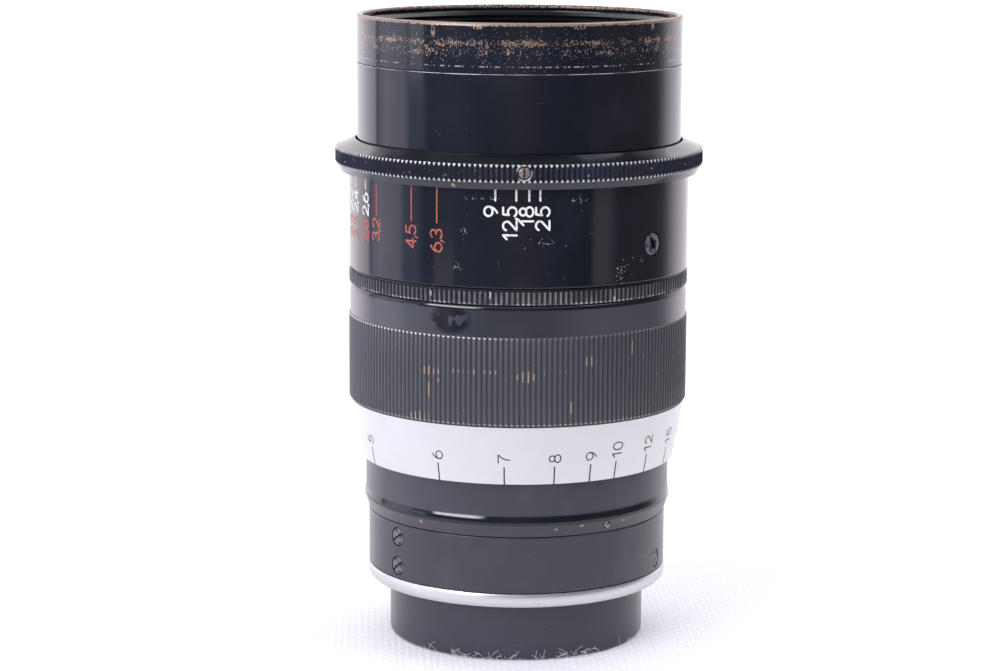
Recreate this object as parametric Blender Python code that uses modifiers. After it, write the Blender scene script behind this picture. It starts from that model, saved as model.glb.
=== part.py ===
"""Rangefinder-coupled 90 mm f/2.2 portrait lens, standing on its screw-on rear cap.

The optical axis is +Z, the front of the lens is up, and the origin is the centre
of the rear cap's underside. Every length here is in millimetres and every angle
in degrees; MM turns them into metres. An azimuth is counted from -Y towards +X.

Six groups of pieces move against each other: the camera mount, the rear cap, the
rangefinder cam, the sliding barrel, the focusing head that turns on it, and the
aperture ring with the iris blades.
"""

import math

import bmesh
import bpy
from mathutils import Matrix, Vector

MM = 0.001
OBJECT_NAME = "portrait_lens"

# Turned pieces: sides of the visible ones and of the hidden ones
SIDES_OUTER = 36
SIDES_INNER = 24
SIDES_SCREW = 12

# Clearances
JOINT_GAP = 0.15  # between two rings that meet face to face
RUN_GAP = 0.3  # between two pieces that slide or turn on each other

# Heights of the visible bands, from the table up
CAP_FLOOR = 1.2
FLANGE_Z = 9.26
COLLAR_Z = 11.46
BARREL_Z = 20.6
SCALE_Z = 29.17
FOCUS_Z = 38.48
FOCUS_BAND_Z = 52.3
FOCUS_TOP = 56.96
LOCK_Z = 57.57
LOCK_TOP = 59.32
BODY_Z = 59.8
BODY_TOP = 74.82
APERTURE_Z = 74.97
APERTURE_TOP = 79.95
FRONT_Z = 80.3
FRONT_SEAM_Z = 91.98
RIM_Z = 99.6

# Outer radii of the visible bands
CAP_R = 20.5
FLANGE_R = 24.02
COLLAR_R = 23.92
BARREL_R = 24.39
BEAD_R = 24.65
SCALE_LOW_R = 25.06
SCALE_HIGH_R = 26.76
FOCUS_R = 27.07
FOCUS_BAND_R = 26.86
LOCK_R = 27.02
BODY_R = 26.99
APERTURE_R = 29.17
FRONT_R = 25.7

# Inner fits
MOUNT_THREAD_R = 19.4
MOUNT_BORE_R = 18.2
RELIEF_R = 21.0  # groove at the root of the mount thread, inside the seating face
RELIEF_DEPTH = 0.3
CAM_OUTER_R = 17.9
CAM_INNER_R = 16.2
CAM_REAR_Z = 1.8
CAM_FRONT_Z = 19.0
FIXED_HELICOID_R = (19.9, 21.2)
INNER_HELICOID_R = (18.2, 19.6)
KEY_R = (21.5, 22.7)
KEY_WIDTH = 2.6
KEY_Z = (12.4, 33.0)
KEY_AZIMUTH = -51.5
HOUSING_R = (24.8, 25.7)

# Screws: azimuth and height of each
COLLAR_SCREWS = ((-51.5, 13.6), (68.5, 13.6), (188.5, 13.6))
KEY_SCREW = (-51.5, 18.3)
CAM_SCREW = (128.5, 10.36)
BARREL_SCREW = (35.3, 21.75)
BODY_SCREW = (50.0, 65.43)
APERTURE_SCREW = (1.63, 77.57)

# Iris: a blade is a strip from INNER to OUTER radius, pivoted at one end
BLADE_COUNT = 12
BLADE_PIVOT_R = 21.63
BLADE_INNER_R = 17.0
BLADE_OUTER_R = 23.6
BLADE_SPAN = 138.0  # azimuth from the pivot stud to the drive stud, wide open
BLADE_END = 2.0  # azimuth that the strip runs on beyond each stud
BLADE_RISE = 4.2  # the strip climbs this much from stud to stud, so blades nest
BLADE_THICKNESS = 0.05
BLADE_STEPS = 13
STUD_R = 0.45
BLADE_ROOT_Z = 73.05
IRIS_BASE_Z = (71.9, 72.7)
IRIS_DRIVE_Z = (77.75, 78.65)
RING_FROM_OPEN = 57.0  # the aperture ring's turn from wide open to the rest pose
BLADE_RATIO = 0.5  # a blade turns half as far as the ring

# Lens elements: vertex heights, surface radii and rim radii
FRONT_ELEMENT = {"front": 94.0, "front_r": 56.0, "rear": 88.6, "rear_r": -200.0, "rim": 22.0}
CROWN_ELEMENT = {"front": 88.1, "front_r": 46.0, "rear": 84.5, "rear_r": -150.0, "rim": 19.2}
FLINT_ELEMENT = {"front": 84.4, "front_r": 150.0, "rear": 83.0, "rear_r": -48.0, "rim": 17.0}
REAR_ELEMENT = {"front": 68.2, "front_r": 60.0, "rear": 62.0, "rear_r": 70.0, "rim": 17.5}
FLINT_EDGE_R = 19.2
LENS_STEPS = 5


# ---------------------------------------------------------------- scene and materials


def clear_scene():
    for item in list(bpy.data.objects):
        bpy.data.objects.remove(item, do_unlink=True)


def new_collection(name):
    collection = bpy.data.collections.new(name)
    bpy.context.scene.collection.children.link(collection)
    return collection


def make_material(name, colour, roughness, metallic, alpha=1.0):
    material = bpy.data.materials.new(name)
    material.use_nodes = True
    shader = material.node_tree.nodes["Principled BSDF"]
    shader.inputs["Base Color"].default_value = (*colour, 1.0)
    shader.inputs["Roughness"].default_value = roughness
    shader.inputs["Metallic"].default_value = metallic
    shader.inputs["Alpha"].default_value = alpha
    material.diffuse_color = (*colour, alpha)
    return material


FINISHES = {
    "gloss_black": ((0.012, 0.013, 0.02), 0.16, 0.0),
    "worn_black": ((0.045, 0.045, 0.05), 0.42, 0.0),
    "cap_black": ((0.05, 0.042, 0.055), 0.55, 0.0),
    "satin_chrome": ((0.66, 0.66, 0.68), 0.32, 1.0),
    "bright_steel": ((0.5, 0.49, 0.48), 0.3, 1.0),
    "brass": ((0.62, 0.44, 0.2), 0.35, 1.0),
    "inner_black": ((0.015, 0.015, 0.018), 0.6, 0.0),
    "blade_steel": ((0.06, 0.06, 0.065), 0.45, 0.7),
}


def finish(name):
    if name == "glass":
        return bpy.data.materials.get(name) or make_material(name, (0.75, 0.85, 0.95), 0.02, 0.0, 0.3)
    colour, roughness, metallic = FINISHES[name]
    return bpy.data.materials.get(name) or make_material(name, colour, roughness, metallic)


# ---------------------------------------------------------------- building blocks


def add_object(name, mesh, collection, parent=None):
    item = bpy.data.objects.new(name, mesh)
    collection.objects.link(item)
    item.parent = parent
    return item


def profile_mesh(name, points, closed):
    mesh = bpy.data.meshes.new(name)
    vertices = [(r * MM, 0.0, z * MM) for r, z in points]
    count = len(points)
    edges = [(i, (i + 1) % count) for i in range(count if closed else count - 1)]
    mesh.from_pydata(vertices, edges, [])
    return mesh


def add_screw_modifier(item, sides, angle=360.0, rise=0.0):
    turn = item.modifiers.new("turn", "SCREW")
    turn.axis = "Z"
    turn.angle = math.radians(angle)
    turn.screw_offset = rise * MM
    turn.steps = sides
    turn.render_steps = sides
    turn.use_merge_vertices = angle == 360.0
    turn.merge_threshold = 0.000001
    return turn


def baked_mesh(item, name):
    """The evaluated mesh of an object, as new mesh data."""
    graph = bpy.context.evaluated_depsgraph_get()
    graph.update()
    mesh = bpy.data.meshes.new_from_object(item.evaluated_get(graph))
    mesh.name = name
    return mesh


def turned(name, points, material, parent, sides=SIDES_OUTER, on_axis=False):
    """A turned piece. The points run down the outer side and back up the inner one;
    with on_axis they start and end on the axis."""
    item = add_object(name, profile_mesh(name, points, closed=not on_axis), PARTS, parent)
    add_screw_modifier(item, sides)
    mesh = baked_mesh(item, name)
    item.modifiers.clear()
    item.data = mesh
    mesh.shade_smooth()
    mesh.set_sharp_from_angle(angle=math.radians(35))
    mesh.materials.append(finish(material))
    return item


def tube(inner_r, outer_r, low, high):
    return [(outer_r, high), (outer_r, low), (inner_r, low), (inner_r, high)]


def radial_matrix(azimuth, z):
    """A frame on the axis whose local +Z points outwards at an azimuth."""
    turn = Matrix.Rotation(math.radians(azimuth), 4, "Z") @ Matrix.Rotation(math.radians(90), 4, "X")
    return Matrix.Translation((0, 0, z * MM)) @ turn


def make_cutter(name, build):
    """A hidden object whose mesh the function build fills in."""
    mesh = bpy.data.meshes.new(name)
    shape = bmesh.new()
    build(shape)
    bmesh.ops.recalc_face_normals(shape, faces=shape.faces)
    shape.to_mesh(mesh)
    shape.free()
    item = add_object(name, mesh, CUTTERS)
    item.hide_render = True
    item.display_type = "WIRE"
    return item


def add_cylinder(shape, matrix, radius, low, high, sides=12):
    """A cylinder along the frame's local Z, from low to high."""
    place = matrix @ Matrix.Translation((0, 0, (low + high) / 2 * MM))
    bmesh.ops.create_cone(
        shape,
        cap_ends=True,
        segments=sides,
        radius1=radius * MM,
        radius2=radius * MM,
        depth=(high - low) * MM,
        matrix=place,
    )


def add_box(shape, matrix, x, y, z):
    """A box in a frame; x, y and z are each a low and a high value."""
    size = Vector((x[1] - x[0], y[1] - y[0], z[1] - z[0])) * MM
    centre = Vector((x[0] + x[1], y[0] + y[1], z[0] + z[1])) * MM / 2
    place = matrix @ Matrix.Translation(centre) @ Matrix.Diagonal((*size, 1.0))
    bmesh.ops.create_cube(shape, size=1.0, matrix=place)


def boolean(item, operation, cutter):
    step = item.modifiers.new(operation.lower(), "BOOLEAN")
    step.operation = operation
    step.solver = "EXACT"
    step.object = cutter


def bore_radial(item, holes):
    """Drill radial holes: each is azimuth, z, radius, and the two ends of the drill."""

    def build(shape):
        for azimuth, z, radius, low, high in holes:
            add_cylinder(shape, radial_matrix(azimuth, z), radius, low, high)

    boolean(item, "DIFFERENCE", make_cutter(f"{item.name}_drill", build))


def radial_screw(name, place, sizes, material, parent, slot_angle):
    """A slotted screw whose head lies at the outside. sizes gives the head's radius,
    its outer and inner ends from the axis, the shank's radius and its inner end."""
    head_r, head_out, head_in, shank_r, tip = sizes
    points = [(0.0, head_out), (head_r * 0.86, head_out), (head_r, head_out - 0.12)]
    points += [(head_r, head_in), (shank_r, head_in), (shank_r, tip), (0.0, tip)]
    item = turned(name, points, material, parent, SIDES_SCREW, on_axis=True)
    azimuth, z = place
    item.matrix_basis = radial_matrix(azimuth, z)
    slot = 0.16 * head_r
    depth = min(0.35, (head_out - head_in) * 0.5)

    def build(shape):
        turn = radial_matrix(azimuth, z) @ Matrix.Rotation(math.radians(slot_angle), 4, "Z")
        add_box(shape, turn, (-2 * head_r, 2 * head_r), (-slot, slot), (head_out - depth, head_out + 1))

    boolean(item, "DIFFERENCE", make_cutter(f"{name}_slot", build))
    return item


def polar(radius, azimuth):
    """A point in the plane at an azimuth, in millimetres."""
    angle = math.radians(azimuth)
    return (radius * math.sin(angle), -radius * math.cos(angle))


# ---------------------------------------------------------------- camera mount and cap


def build_mount(parent):
    flange = turned(
        "flange_mount",
        [
            (22.6, 16.0),
            (22.6, COLLAR_Z),
            (FLANGE_R, COLLAR_Z),
            (FLANGE_R, FLANGE_Z + 0.4),
            (FLANGE_R - 0.4, FLANGE_Z),
            (RELIEF_R, FLANGE_Z),
            (RELIEF_R, FLANGE_Z + RELIEF_DEPTH),
            (MOUNT_THREAD_R, FLANGE_Z + RELIEF_DEPTH),
            (MOUNT_THREAD_R, 4.2),
            (MOUNT_BORE_R, 4.2),
            (MOUNT_BORE_R, COLLAR_Z),
            (21.5, COLLAR_Z),
            (21.5, 16.0),
        ],
        "satin_chrome",
        parent,
    )
    drills = [(azimuth, z, 1.0, 20.5, 24.0) for azimuth, z in COLLAR_SCREWS[1:]]
    drills.append((*CAM_SCREW, 1.0, 17.0, 25.0))
    bore_radial(flange, drills)
    keyway = make_cutter(
        "flange_keyway",
        lambda shape: add_box(
            shape,
            Matrix.Rotation(math.radians(KEY_AZIMUTH), 4, "Z"),
            (-KEY_WIDTH / 2 - RUN_GAP, KEY_WIDTH / 2 + RUN_GAP),
            (-24.0, -20.5),
            (KEY_Z[0] - RUN_GAP, 17.0),
        ),
    )
    boolean(flange, "DIFFERENCE", keyway)

    collar = turned(
        "mount_collar",
        [
            (COLLAR_R - 0.2, BARREL_Z - JOINT_GAP),
            (COLLAR_R, BARREL_Z - JOINT_GAP - 0.2),
            (COLLAR_R, COLLAR_Z + JOINT_GAP),
            (22.9, COLLAR_Z + JOINT_GAP),
            (22.9, BARREL_Z - JOINT_GAP),
        ],
        "worn_black",
        parent,
    )
    bore_radial(collar, [(azimuth, z, 1.6, 22.0, 25.0) for azimuth, z in (*COLLAR_SCREWS, KEY_SCREW)])

    turned(
        "fixed_helicoid",
        tube(*FIXED_HELICOID_R, COLLAR_Z + RUN_GAP, 33.5),
        "brass",
        parent,
        SIDES_INNER,
    )
    build_guide_key(parent)

    head = (1.4, COLLAR_R + 0.05, 23.0, 0.7, 21.7)
    for number, place in enumerate(COLLAR_SCREWS, start=1):
        radial_screw(f"collar_screw_{number}", place, head, "bright_steel", parent, 28)
    radial_screw("guide_key_screw", KEY_SCREW, head, "bright_steel", parent, 34)
    cam_head = (0.8, FLANGE_R, 22.9, 0.6, 16.9)
    radial_screw("cam_guide_screw", CAM_SCREW, cam_head, "bright_steel", parent, 10)


def build_guide_key(parent):
    """The bar that stops the sliding barrel from turning, held by two screws."""
    mesh = bpy.data.meshes.new("guide_key")
    shape = bmesh.new()
    half = KEY_WIDTH / 2
    add_box(shape, Matrix.Identity(4), (-half, half), (-KEY_R[1], -KEY_R[0]), KEY_Z)
    shape.to_mesh(mesh)
    shape.free()
    mesh.materials.append(finish("brass"))
    key = add_object("guide_key", mesh, PARTS, parent)
    key.rotation_euler.z = math.radians(KEY_AZIMUTH)
    screws = (COLLAR_SCREWS[0], KEY_SCREW)
    bore_radial(key, [(azimuth, z, 1.0, 20.5, 24.0) for azimuth, z in screws])


def build_rear_cap(parent):
    inner_r = MOUNT_THREAD_R + 0.35
    rim = FLANGE_Z - JOINT_GAP
    turned(
        "rear_cap",
        [
            (0.0, CAP_FLOOR),
            (inner_r, CAP_FLOOR),
            (inner_r, rim),
            (CAP_R, rim),
            (CAP_R, 0.4),
            (CAP_R - 0.4, 0.0),
            (0.0, 0.0),
        ],
        "cap_black",
        parent,
        on_axis=True,
    )


def build_rangefinder_cam(parent):
    """The sleeve that pushes the camera's rangefinder lever, guided by a screw."""
    cam = turned(
        "rangefinder_cam",
        tube(CAM_INNER_R, CAM_OUTER_R, CAM_REAR_Z, CAM_FRONT_Z),
        "brass",
        parent,
        SIDES_INNER,
    )
    azimuth, z = CAM_SCREW
    travel = 2.96

    def build(shape):
        turn = Matrix.Rotation(math.radians(azimuth), 4, "Z")
        add_box(shape, turn, (-1.0, 1.0), (-19.0, -15.0), (z - travel - 1.1, z + 1.1))

    boolean(cam, "DIFFERENCE", make_cutter("cam_guide_slot", build))


# ---------------------------------------------------------------- focusing mount


def build_sliding_barrel(parent):
    barrel = turned(
        "sliding_barrel",
        [
            (24.3, 38.3),
            (24.3, 36.4),
            (23.5, 36.4),
            (23.5, 32.6),
            (BARREL_R, 32.6),
            (BARREL_R, 24.26),
            (BEAD_R - 0.07, 23.45),
            (BEAD_R, 22.85),
            (BEAD_R - 0.06, 22.2),
            (BARREL_R, 21.75),
            (23.95, BARREL_Z),
            (21.6, BARREL_Z),
            (21.6, 38.3),
        ],
        "worn_black",
        parent,
    )

    def build(shape):
        turn = Matrix.Rotation(math.radians(KEY_AZIMUTH), 4, "Z")
        half = KEY_WIDTH / 2 + RUN_GAP
        add_box(shape, turn, (-half, half), (-KEY_R[1] - 0.35, -20.0), (19.0, 40.0))

    boolean(barrel, "DIFFERENCE", make_cutter("barrel_keyway", build))
    bore_radial(barrel, [(*BARREL_SCREW, 0.7, 22.8, 26.0)])
    grub = (0.55, 24.46, 23.9, 0.4, 23.1)
    radial_screw("barrel_set_screw", BARREL_SCREW, grub, "brass", parent, 50)


def build_focusing_head(parent):
    turned(
        "barrel_retaining_ring",
        tube(23.8, 24.32, 33.1, 35.9),
        "brass",
        parent,
        SIDES_INNER,
    )
    turned(
        "distance_scale_ring",
        [
            (SCALE_HIGH_R, FOCUS_Z - 0.1),
            (SCALE_LOW_R, SCALE_Z),
            (24.65, SCALE_Z),
            (24.65, FOCUS_Z - 0.1),
        ],
        "satin_chrome",
        parent,
    )
    low, high = INNER_HELICOID_R
    turned(
        "inner_helicoid",
        [
            (24.7, 41.2),
            (24.7, 38.6),
            (high, 38.6),
            (high, 12.2),
            (low, 12.2),
            (low, 41.2),
        ],
        "brass",
        parent,
        SIDES_INNER,
    )
    turned(
        "focusing_ring",
        [
            (FOCUS_BAND_R - 0.3, FOCUS_TOP),
            (FOCUS_BAND_R, FOCUS_TOP - 0.3),
            (FOCUS_BAND_R, FOCUS_BAND_Z),
            (FOCUS_R, FOCUS_BAND_Z),
            (FOCUS_R, FOCUS_Z + 0.4),
            (FOCUS_R - 0.27, FOCUS_Z),
            (25.0, FOCUS_Z),
            (25.0, FOCUS_TOP),
        ],
        "worn_black",
        parent,
    )
    turned(
        "head_lock_ring",
        [
            (25.7, 62.0),
            (25.7, 59.6),
            (26.6, 59.6),
            (26.6, LOCK_TOP),
            (LOCK_R, LOCK_TOP),
            (LOCK_R, LOCK_Z),
            (26.6, FOCUS_TOP + RUN_GAP),
            (24.7, FOCUS_TOP + RUN_GAP),
            (24.7, 51.5),
            (23.6, 51.5),
            (23.6, 62.0),
        ],
        "gloss_black",
        parent,
    )


# ---------------------------------------------------------------- optical head


def build_head_barrels(parent):
    body = turned(
        "body_barrel",
        [
            (BODY_R, BODY_TOP),
            (BODY_R, BODY_Z + 0.3),
            (BODY_R - 0.25, BODY_Z),
            (26.0, BODY_Z),
            (26.0, BODY_TOP),
        ],
        "gloss_black",
        parent,
    )
    bore_radial(body, [(*BODY_SCREW, 1.9, 25.5, 28.0)])
    head = (1.7, BODY_R + 0.04, 26.1, 0.7, 24.95)
    radial_screw("body_screw", BODY_SCREW, head, "bright_steel", parent, -55)

    inner_r, outer_r = HOUSING_R
    housing = turned(
        "iris_housing",
        [
            (outer_r, 80.0),
            (outer_r, 62.3),
            (inner_r, 62.3),
            (inner_r, 70.4),
            (22.4, 70.4),
            (22.4, 71.6),
            (inner_r, 71.6),
            (inner_r, 80.0),
        ],
        "inner_black",
        parent,
        SIDES_INNER,
    )
    bore_radial(housing, [(*BODY_SCREW, 0.95, 24.0, 27.0)])
    boolean(housing, "DIFFERENCE", make_cutter("drive_screw_slot", build_drive_slot))

    turned(
        "front_barrel",
        [
            (FRONT_R, FRONT_SEAM_Z - 0.08),
            (FRONT_R, FRONT_Z),
            (24.5, FRONT_Z),
            (24.5, 78.95),
            (22.7, 78.95),
            (22.7, FRONT_Z),
            (24.3, FRONT_Z),
            (24.3, FRONT_SEAM_Z - 0.08),
        ],
        "gloss_black",
        parent,
    )
    turned(
        "filter_ring",
        [
            (25.35, RIM_Z),
            (25.6, RIM_Z - 0.18),
            (FRONT_R, RIM_Z - 0.5),
            (FRONT_R, FRONT_SEAM_Z + 0.07),
            (24.0, FRONT_SEAM_Z + 0.07),
            (24.0, 88.5),
            (23.3, 88.5),
            (23.3, 92.9),
            (24.2, 92.9),
            (24.2, 98.2),
            (24.77, 98.7),
            (24.77, RIM_Z - 0.25),
            (24.95, RIM_Z),
        ],
        "gloss_black",
        parent,
    )


def build_drive_slot(shape):
    """The slot in the iris housing that the aperture ring's screw travels along."""
    azimuth, z = APERTURE_SCREW
    first = azimuth - RING_FROM_OPEN - 4.0
    last = azimuth + 84.0 - RING_FROM_OPEN + 4.0
    steps = 10
    low, high = z - 0.95, z + 0.95
    angles = [first + (last - first) * i / steps for i in range(steps + 1)]
    outline = [polar(27.0, angle) for angle in angles]
    outline += [polar(23.5, angle) for angle in reversed(angles)]
    bottom = shape.faces.new([shape.verts.new((x * MM, y * MM, low * MM)) for x, y in outline])
    raised = bmesh.ops.extrude_face_region(shape, geom=[bottom])
    moved = [item for item in raised["geom"] if isinstance(item, bmesh.types.BMVert)]
    bmesh.ops.translate(shape, verts=moved, vec=(0, 0, (high - low) * MM))


# ---------------------------------------------------------------- lens groups


def surface(vertex, radius, rim):
    """Points of a spherical surface from the axis to the rim. A positive radius
    makes the surface fall away from its vertex towards -Z."""
    points = []
    for i in range(LENS_STEPS + 1):
        r = rim * i / LENS_STEPS
        sag = abs(radius) - math.sqrt(radius * radius - r * r)
        points.append((r, vertex - math.copysign(sag, radius)))
    return points


def lens_element(name, numbers, parent, edge_r=None):
    """One glass: its rear radius is positive when the rear surface bulges backwards."""
    front = surface(numbers["front"], numbers["front_r"], edge_r or numbers["rim"])
    rear = surface(numbers["rear"], -numbers["rear_r"], numbers["rim"])
    if edge_r:
        rear.append((edge_r, rear[-1][1]))
    return turned(name, front + rear[::-1], "glass", parent, SIDES_INNER, on_axis=True)


def build_optics(parent):
    lens_element("front_element", FRONT_ELEMENT, parent)
    lens_element("middle_crown_element", CROWN_ELEMENT, parent)
    lens_element("middle_flint_element", FLINT_ELEMENT, parent, FLINT_EDGE_R)
    lens_element("rear_element", REAR_ELEMENT, parent)

    inner = {"material": "inner_black", "parent": parent, "sides": SIDES_INNER}
    turned(
        "front_cell",
        [(23.0, 91.6), (23.0, 86.0), (20.9, 86.0), (20.9, 86.9), (22.3, 86.9), (22.3, 91.6)],
        **inner,
    )
    turned("front_retaining_ring", tube(20.9, 22.05, 90.3, 91.5), **inner)
    turned(
        "middle_cell",
        [
            (24.0, 85.6),
            (24.0, 80.6),
            (22.4, 80.6),
            (22.4, 79.2),
            (17.7, 79.2),
            (17.7, 79.6),
            (19.5, 79.6),
            (19.5, 85.6),
        ],
        **inner,
    )
    turned("middle_retaining_ring", tube(18.1, 19.2, 84.8, 85.5), **inner)
    turned(
        "rear_cell",
        [
            (19.3, 69.0),
            (19.3, 66.4),
            (24.3, 66.4),
            (24.3, 65.0),
            (19.3, 65.0),
            (19.3, 60.6),
            (16.6, 60.6),
            (16.6, 61.6),
            (17.8, 61.6),
            (17.8, 69.0),
        ],
        **inner,
    )
    turned("rear_retaining_ring", tube(16.7, 17.5, 66.5, 67.6), **inner)


# ---------------------------------------------------------------- aperture


def build_aperture_ring(parent):
    ring = turned(
        "aperture_ring",
        [
            (26.5, APERTURE_TOP),
            (APERTURE_R, 78.7),
            (APERTURE_R, 76.25),
            (29.0, 75.75),
            (28.3, 75.2),
            (27.3, APERTURE_Z),
            (26.0, APERTURE_Z),
            (26.0, APERTURE_TOP),
        ],
        "gloss_black",
        parent,
    )
    bore_radial(ring, [(*APERTURE_SCREW, 1.1, 25.0, 30.0)])
    screw = (0.85, APERTURE_R - 0.06, 28.4, 0.55, 24.1)
    radial_screw("aperture_ring_screw", APERTURE_SCREW, screw, "bright_steel", parent, 90)

    low, high = IRIS_DRIVE_Z
    drive = turned(
        "iris_drive_ring",
        [(24.5, high), (24.5, 75.9), (23.9, 75.9), (23.9, low), (17.3, low), (17.3, high)],
        "inner_black",
        parent,
        SIDES_INNER,
    )
    bore_radial(drive, [(*APERTURE_SCREW, 0.85, 23.0, 25.5)])

    def build(shape):
        first = 90.0 + BLADE_SPAN + RING_FROM_OPEN
        for number in range(BLADE_COUNT):
            turn = Matrix.Rotation(math.radians(first + number * 360.0 / BLADE_COUNT), 4, "Z")
            add_box(shape, turn, (-1.0, 1.0), (-22.4, -18.0), (low - 0.5, high + 0.5))

    boolean(drive, "DIFFERENCE", make_cutter("drive_ring_slots", build))


def build_iris_base(parent):
    base = turned(
        "iris_base_plate",
        tube(17.2, 24.5, *IRIS_BASE_Z),
        "inner_black",
        parent,
        SIDES_INNER,
    )

    def build(shape):
        for number in range(BLADE_COUNT):
            x, y = polar(BLADE_PIVOT_R, 90.0 + number * 360.0 / BLADE_COUNT)
            place = Matrix.Translation((x * MM, y * MM, 0))
            add_cylinder(shape, place, STUD_R + 0.25, IRIS_BASE_Z[0] - 0.5, IRIS_BASE_Z[1] + 0.5, 6)

    boolean(base, "DIFFERENCE", make_cutter("pivot_holes", build))


def blade_mesh():
    """A thin helical strip with a pivot stud below one end and a drive stud above
    the other. Its origin is on the pivot's axis, with the lens axis at -X."""
    strip = add_object("blade_strip", bpy.data.meshes.new("blade_strip"), CUTTERS)
    mesh = profile_mesh("blade_strip", [(BLADE_INNER_R, 0.0), (BLADE_OUTER_R, 0.0)], closed=False)
    strip.data = mesh
    span = BLADE_SPAN + 2 * BLADE_END
    rise = BLADE_RISE * span / BLADE_SPAN
    add_screw_modifier(strip, BLADE_STEPS, span, rise)
    skin = strip.modifiers.new("skin", "SOLIDIFY")
    skin.thickness = BLADE_THICKNESS * MM
    skin.offset = 0.0
    solid = baked_mesh(strip, "blade_solid")
    bpy.data.objects.remove(strip)

    lead_in = BLADE_RISE * BLADE_END / BLADE_SPAN
    place = Matrix.Translation((-BLADE_PIVOT_R * MM, 0, -lead_in * MM))
    solid.transform(place @ Matrix.Rotation(math.radians(-BLADE_END), 4, "Z"))
    shape = bmesh.new()
    shape.from_mesh(solid)
    bmesh.ops.recalc_face_normals(shape, faces=shape.faces)
    shape.to_mesh(solid)
    shape.free()
    blade = add_object("blade_master", solid, CUTTERS)

    def studs(shape):
        add_cylinder(shape, Matrix.Identity(4), STUD_R, IRIS_BASE_Z[0] - BLADE_ROOT_Z + 0.1, 0.0, 8)
        span_angle = math.radians(BLADE_SPAN)
        x = BLADE_PIVOT_R * (math.cos(span_angle) - 1.0)
        y = BLADE_PIVOT_R * math.sin(span_angle)
        far = Matrix.Translation((x * MM, y * MM, 0))
        top = IRIS_DRIVE_Z[1] - BLADE_ROOT_Z - 0.1
        add_cylinder(shape, far, STUD_R, BLADE_RISE, top, 8)

    boolean(blade, "UNION", make_cutter("blade_studs", studs))
    joined = baked_mesh(blade, "iris_blade")
    bpy.data.objects.remove(blade)
    joined.materials.clear()
    joined.materials.append(finish("blade_steel"))
    return joined


def build_iris_blades(parent):
    mesh = blade_mesh()
    rest_turn = RING_FROM_OPEN * BLADE_RATIO
    for number in range(BLADE_COUNT):
        angle = number * 360.0 / BLADE_COUNT
        x, y = polar(BLADE_PIVOT_R, 90.0 + angle)
        blade = add_object(f"iris_blade_{number + 1:02d}", mesh, PARTS, parent)
        blade.location = (x * MM, y * MM, BLADE_ROOT_Z * MM)
        blade.rotation_euler.z = math.radians(angle + rest_turn)


# ---------------------------------------------------------------- assembly


def axis_empty(name, parent=None):
    item = bpy.data.objects.new(name, None)
    item.empty_display_size = 0.01
    PARTS.objects.link(item)
    item.parent = parent
    return item


def main():
    mount_axis = axis_empty("mount_axis")
    slide_axis = axis_empty("barrel_slide_axis", mount_axis)
    head_axis = axis_empty("focus_turn_axis", slide_axis)
    aperture_axis = axis_empty("aperture_turn_axis", head_axis)

    build_mount(mount_axis)
    build_rear_cap(axis_empty("cap_axis", mount_axis))
    build_rangefinder_cam(axis_empty("cam_axis", mount_axis))
    build_sliding_barrel(slide_axis)
    build_focusing_head(head_axis)
    build_head_barrels(head_axis)
    build_optics(head_axis)
    build_iris_base(head_axis)
    build_iris_blades(head_axis)
    build_aperture_ring(aperture_axis)


clear_scene()
PARTS = new_collection(OBJECT_NAME)
CUTTERS = new_collection("cutters")
main()
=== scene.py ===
"""Looks of the 90 mm portrait lens: its fine turning, knurls, scales, wear and studio.

Lengths are in millimetres and angles in degrees; MM turns lengths into metres.
An azimuth is counted from -Y towards +X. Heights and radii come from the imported
model, and every piece rides on one of its bodies.
"""

import math
import random

import bmesh
import bpy
import numpy as np
from mathutils import Matrix, Vector


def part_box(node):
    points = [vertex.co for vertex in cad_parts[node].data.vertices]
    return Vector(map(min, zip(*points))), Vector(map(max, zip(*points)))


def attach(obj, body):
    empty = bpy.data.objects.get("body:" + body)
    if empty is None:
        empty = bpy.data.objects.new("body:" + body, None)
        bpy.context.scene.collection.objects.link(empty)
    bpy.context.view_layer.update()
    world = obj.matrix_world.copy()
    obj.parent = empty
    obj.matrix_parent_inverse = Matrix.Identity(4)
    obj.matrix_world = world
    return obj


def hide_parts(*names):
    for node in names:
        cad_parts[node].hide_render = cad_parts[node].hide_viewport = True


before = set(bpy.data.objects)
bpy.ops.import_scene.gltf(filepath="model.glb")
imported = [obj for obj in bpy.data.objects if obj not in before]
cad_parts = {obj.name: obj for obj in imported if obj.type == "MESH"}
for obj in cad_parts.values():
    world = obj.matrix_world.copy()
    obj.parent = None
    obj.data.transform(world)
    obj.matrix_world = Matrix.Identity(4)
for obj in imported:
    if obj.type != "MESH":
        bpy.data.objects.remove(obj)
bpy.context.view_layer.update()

MM = 0.001

# Knurls: teeth round the ring, and how deep they are cut
APERTURE_KNURL = {"count": 222, "depth": 0.36, "share": 1.0}
LOCK_KNURL = {"count": 206, "depth": 0.24, "share": 0.8}
FOCUS_KNURL = {"count": 204, "depth": 0.2, "share": 0.85}
COLUMNS_PER_TOOTH = 8
PLAIN_COLUMNS = 256

# Threads, drawn as shallow rings: the filter's and the mount's
THREAD_PITCH = 0.75
THREAD_DEPTH = 0.38
MOUNT_PITCH = 0.977
MOUNT_DEPTH = 0.4

# Distance scale: feet, and the helicoid that spaces them
FOCAL_LENGTH = 90.0
FOOT = 304.8
LEAD = 11.6
INFINITY_AZIMUTH = 124.6
DISTANCE_MARKS = ("100", "50", "30", "20", "15", "12", "10", "9", "8", "7", "6", "5", "4")
TICK_LENGTH = 2.77
TICK_WIDTH = 0.22

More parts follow.
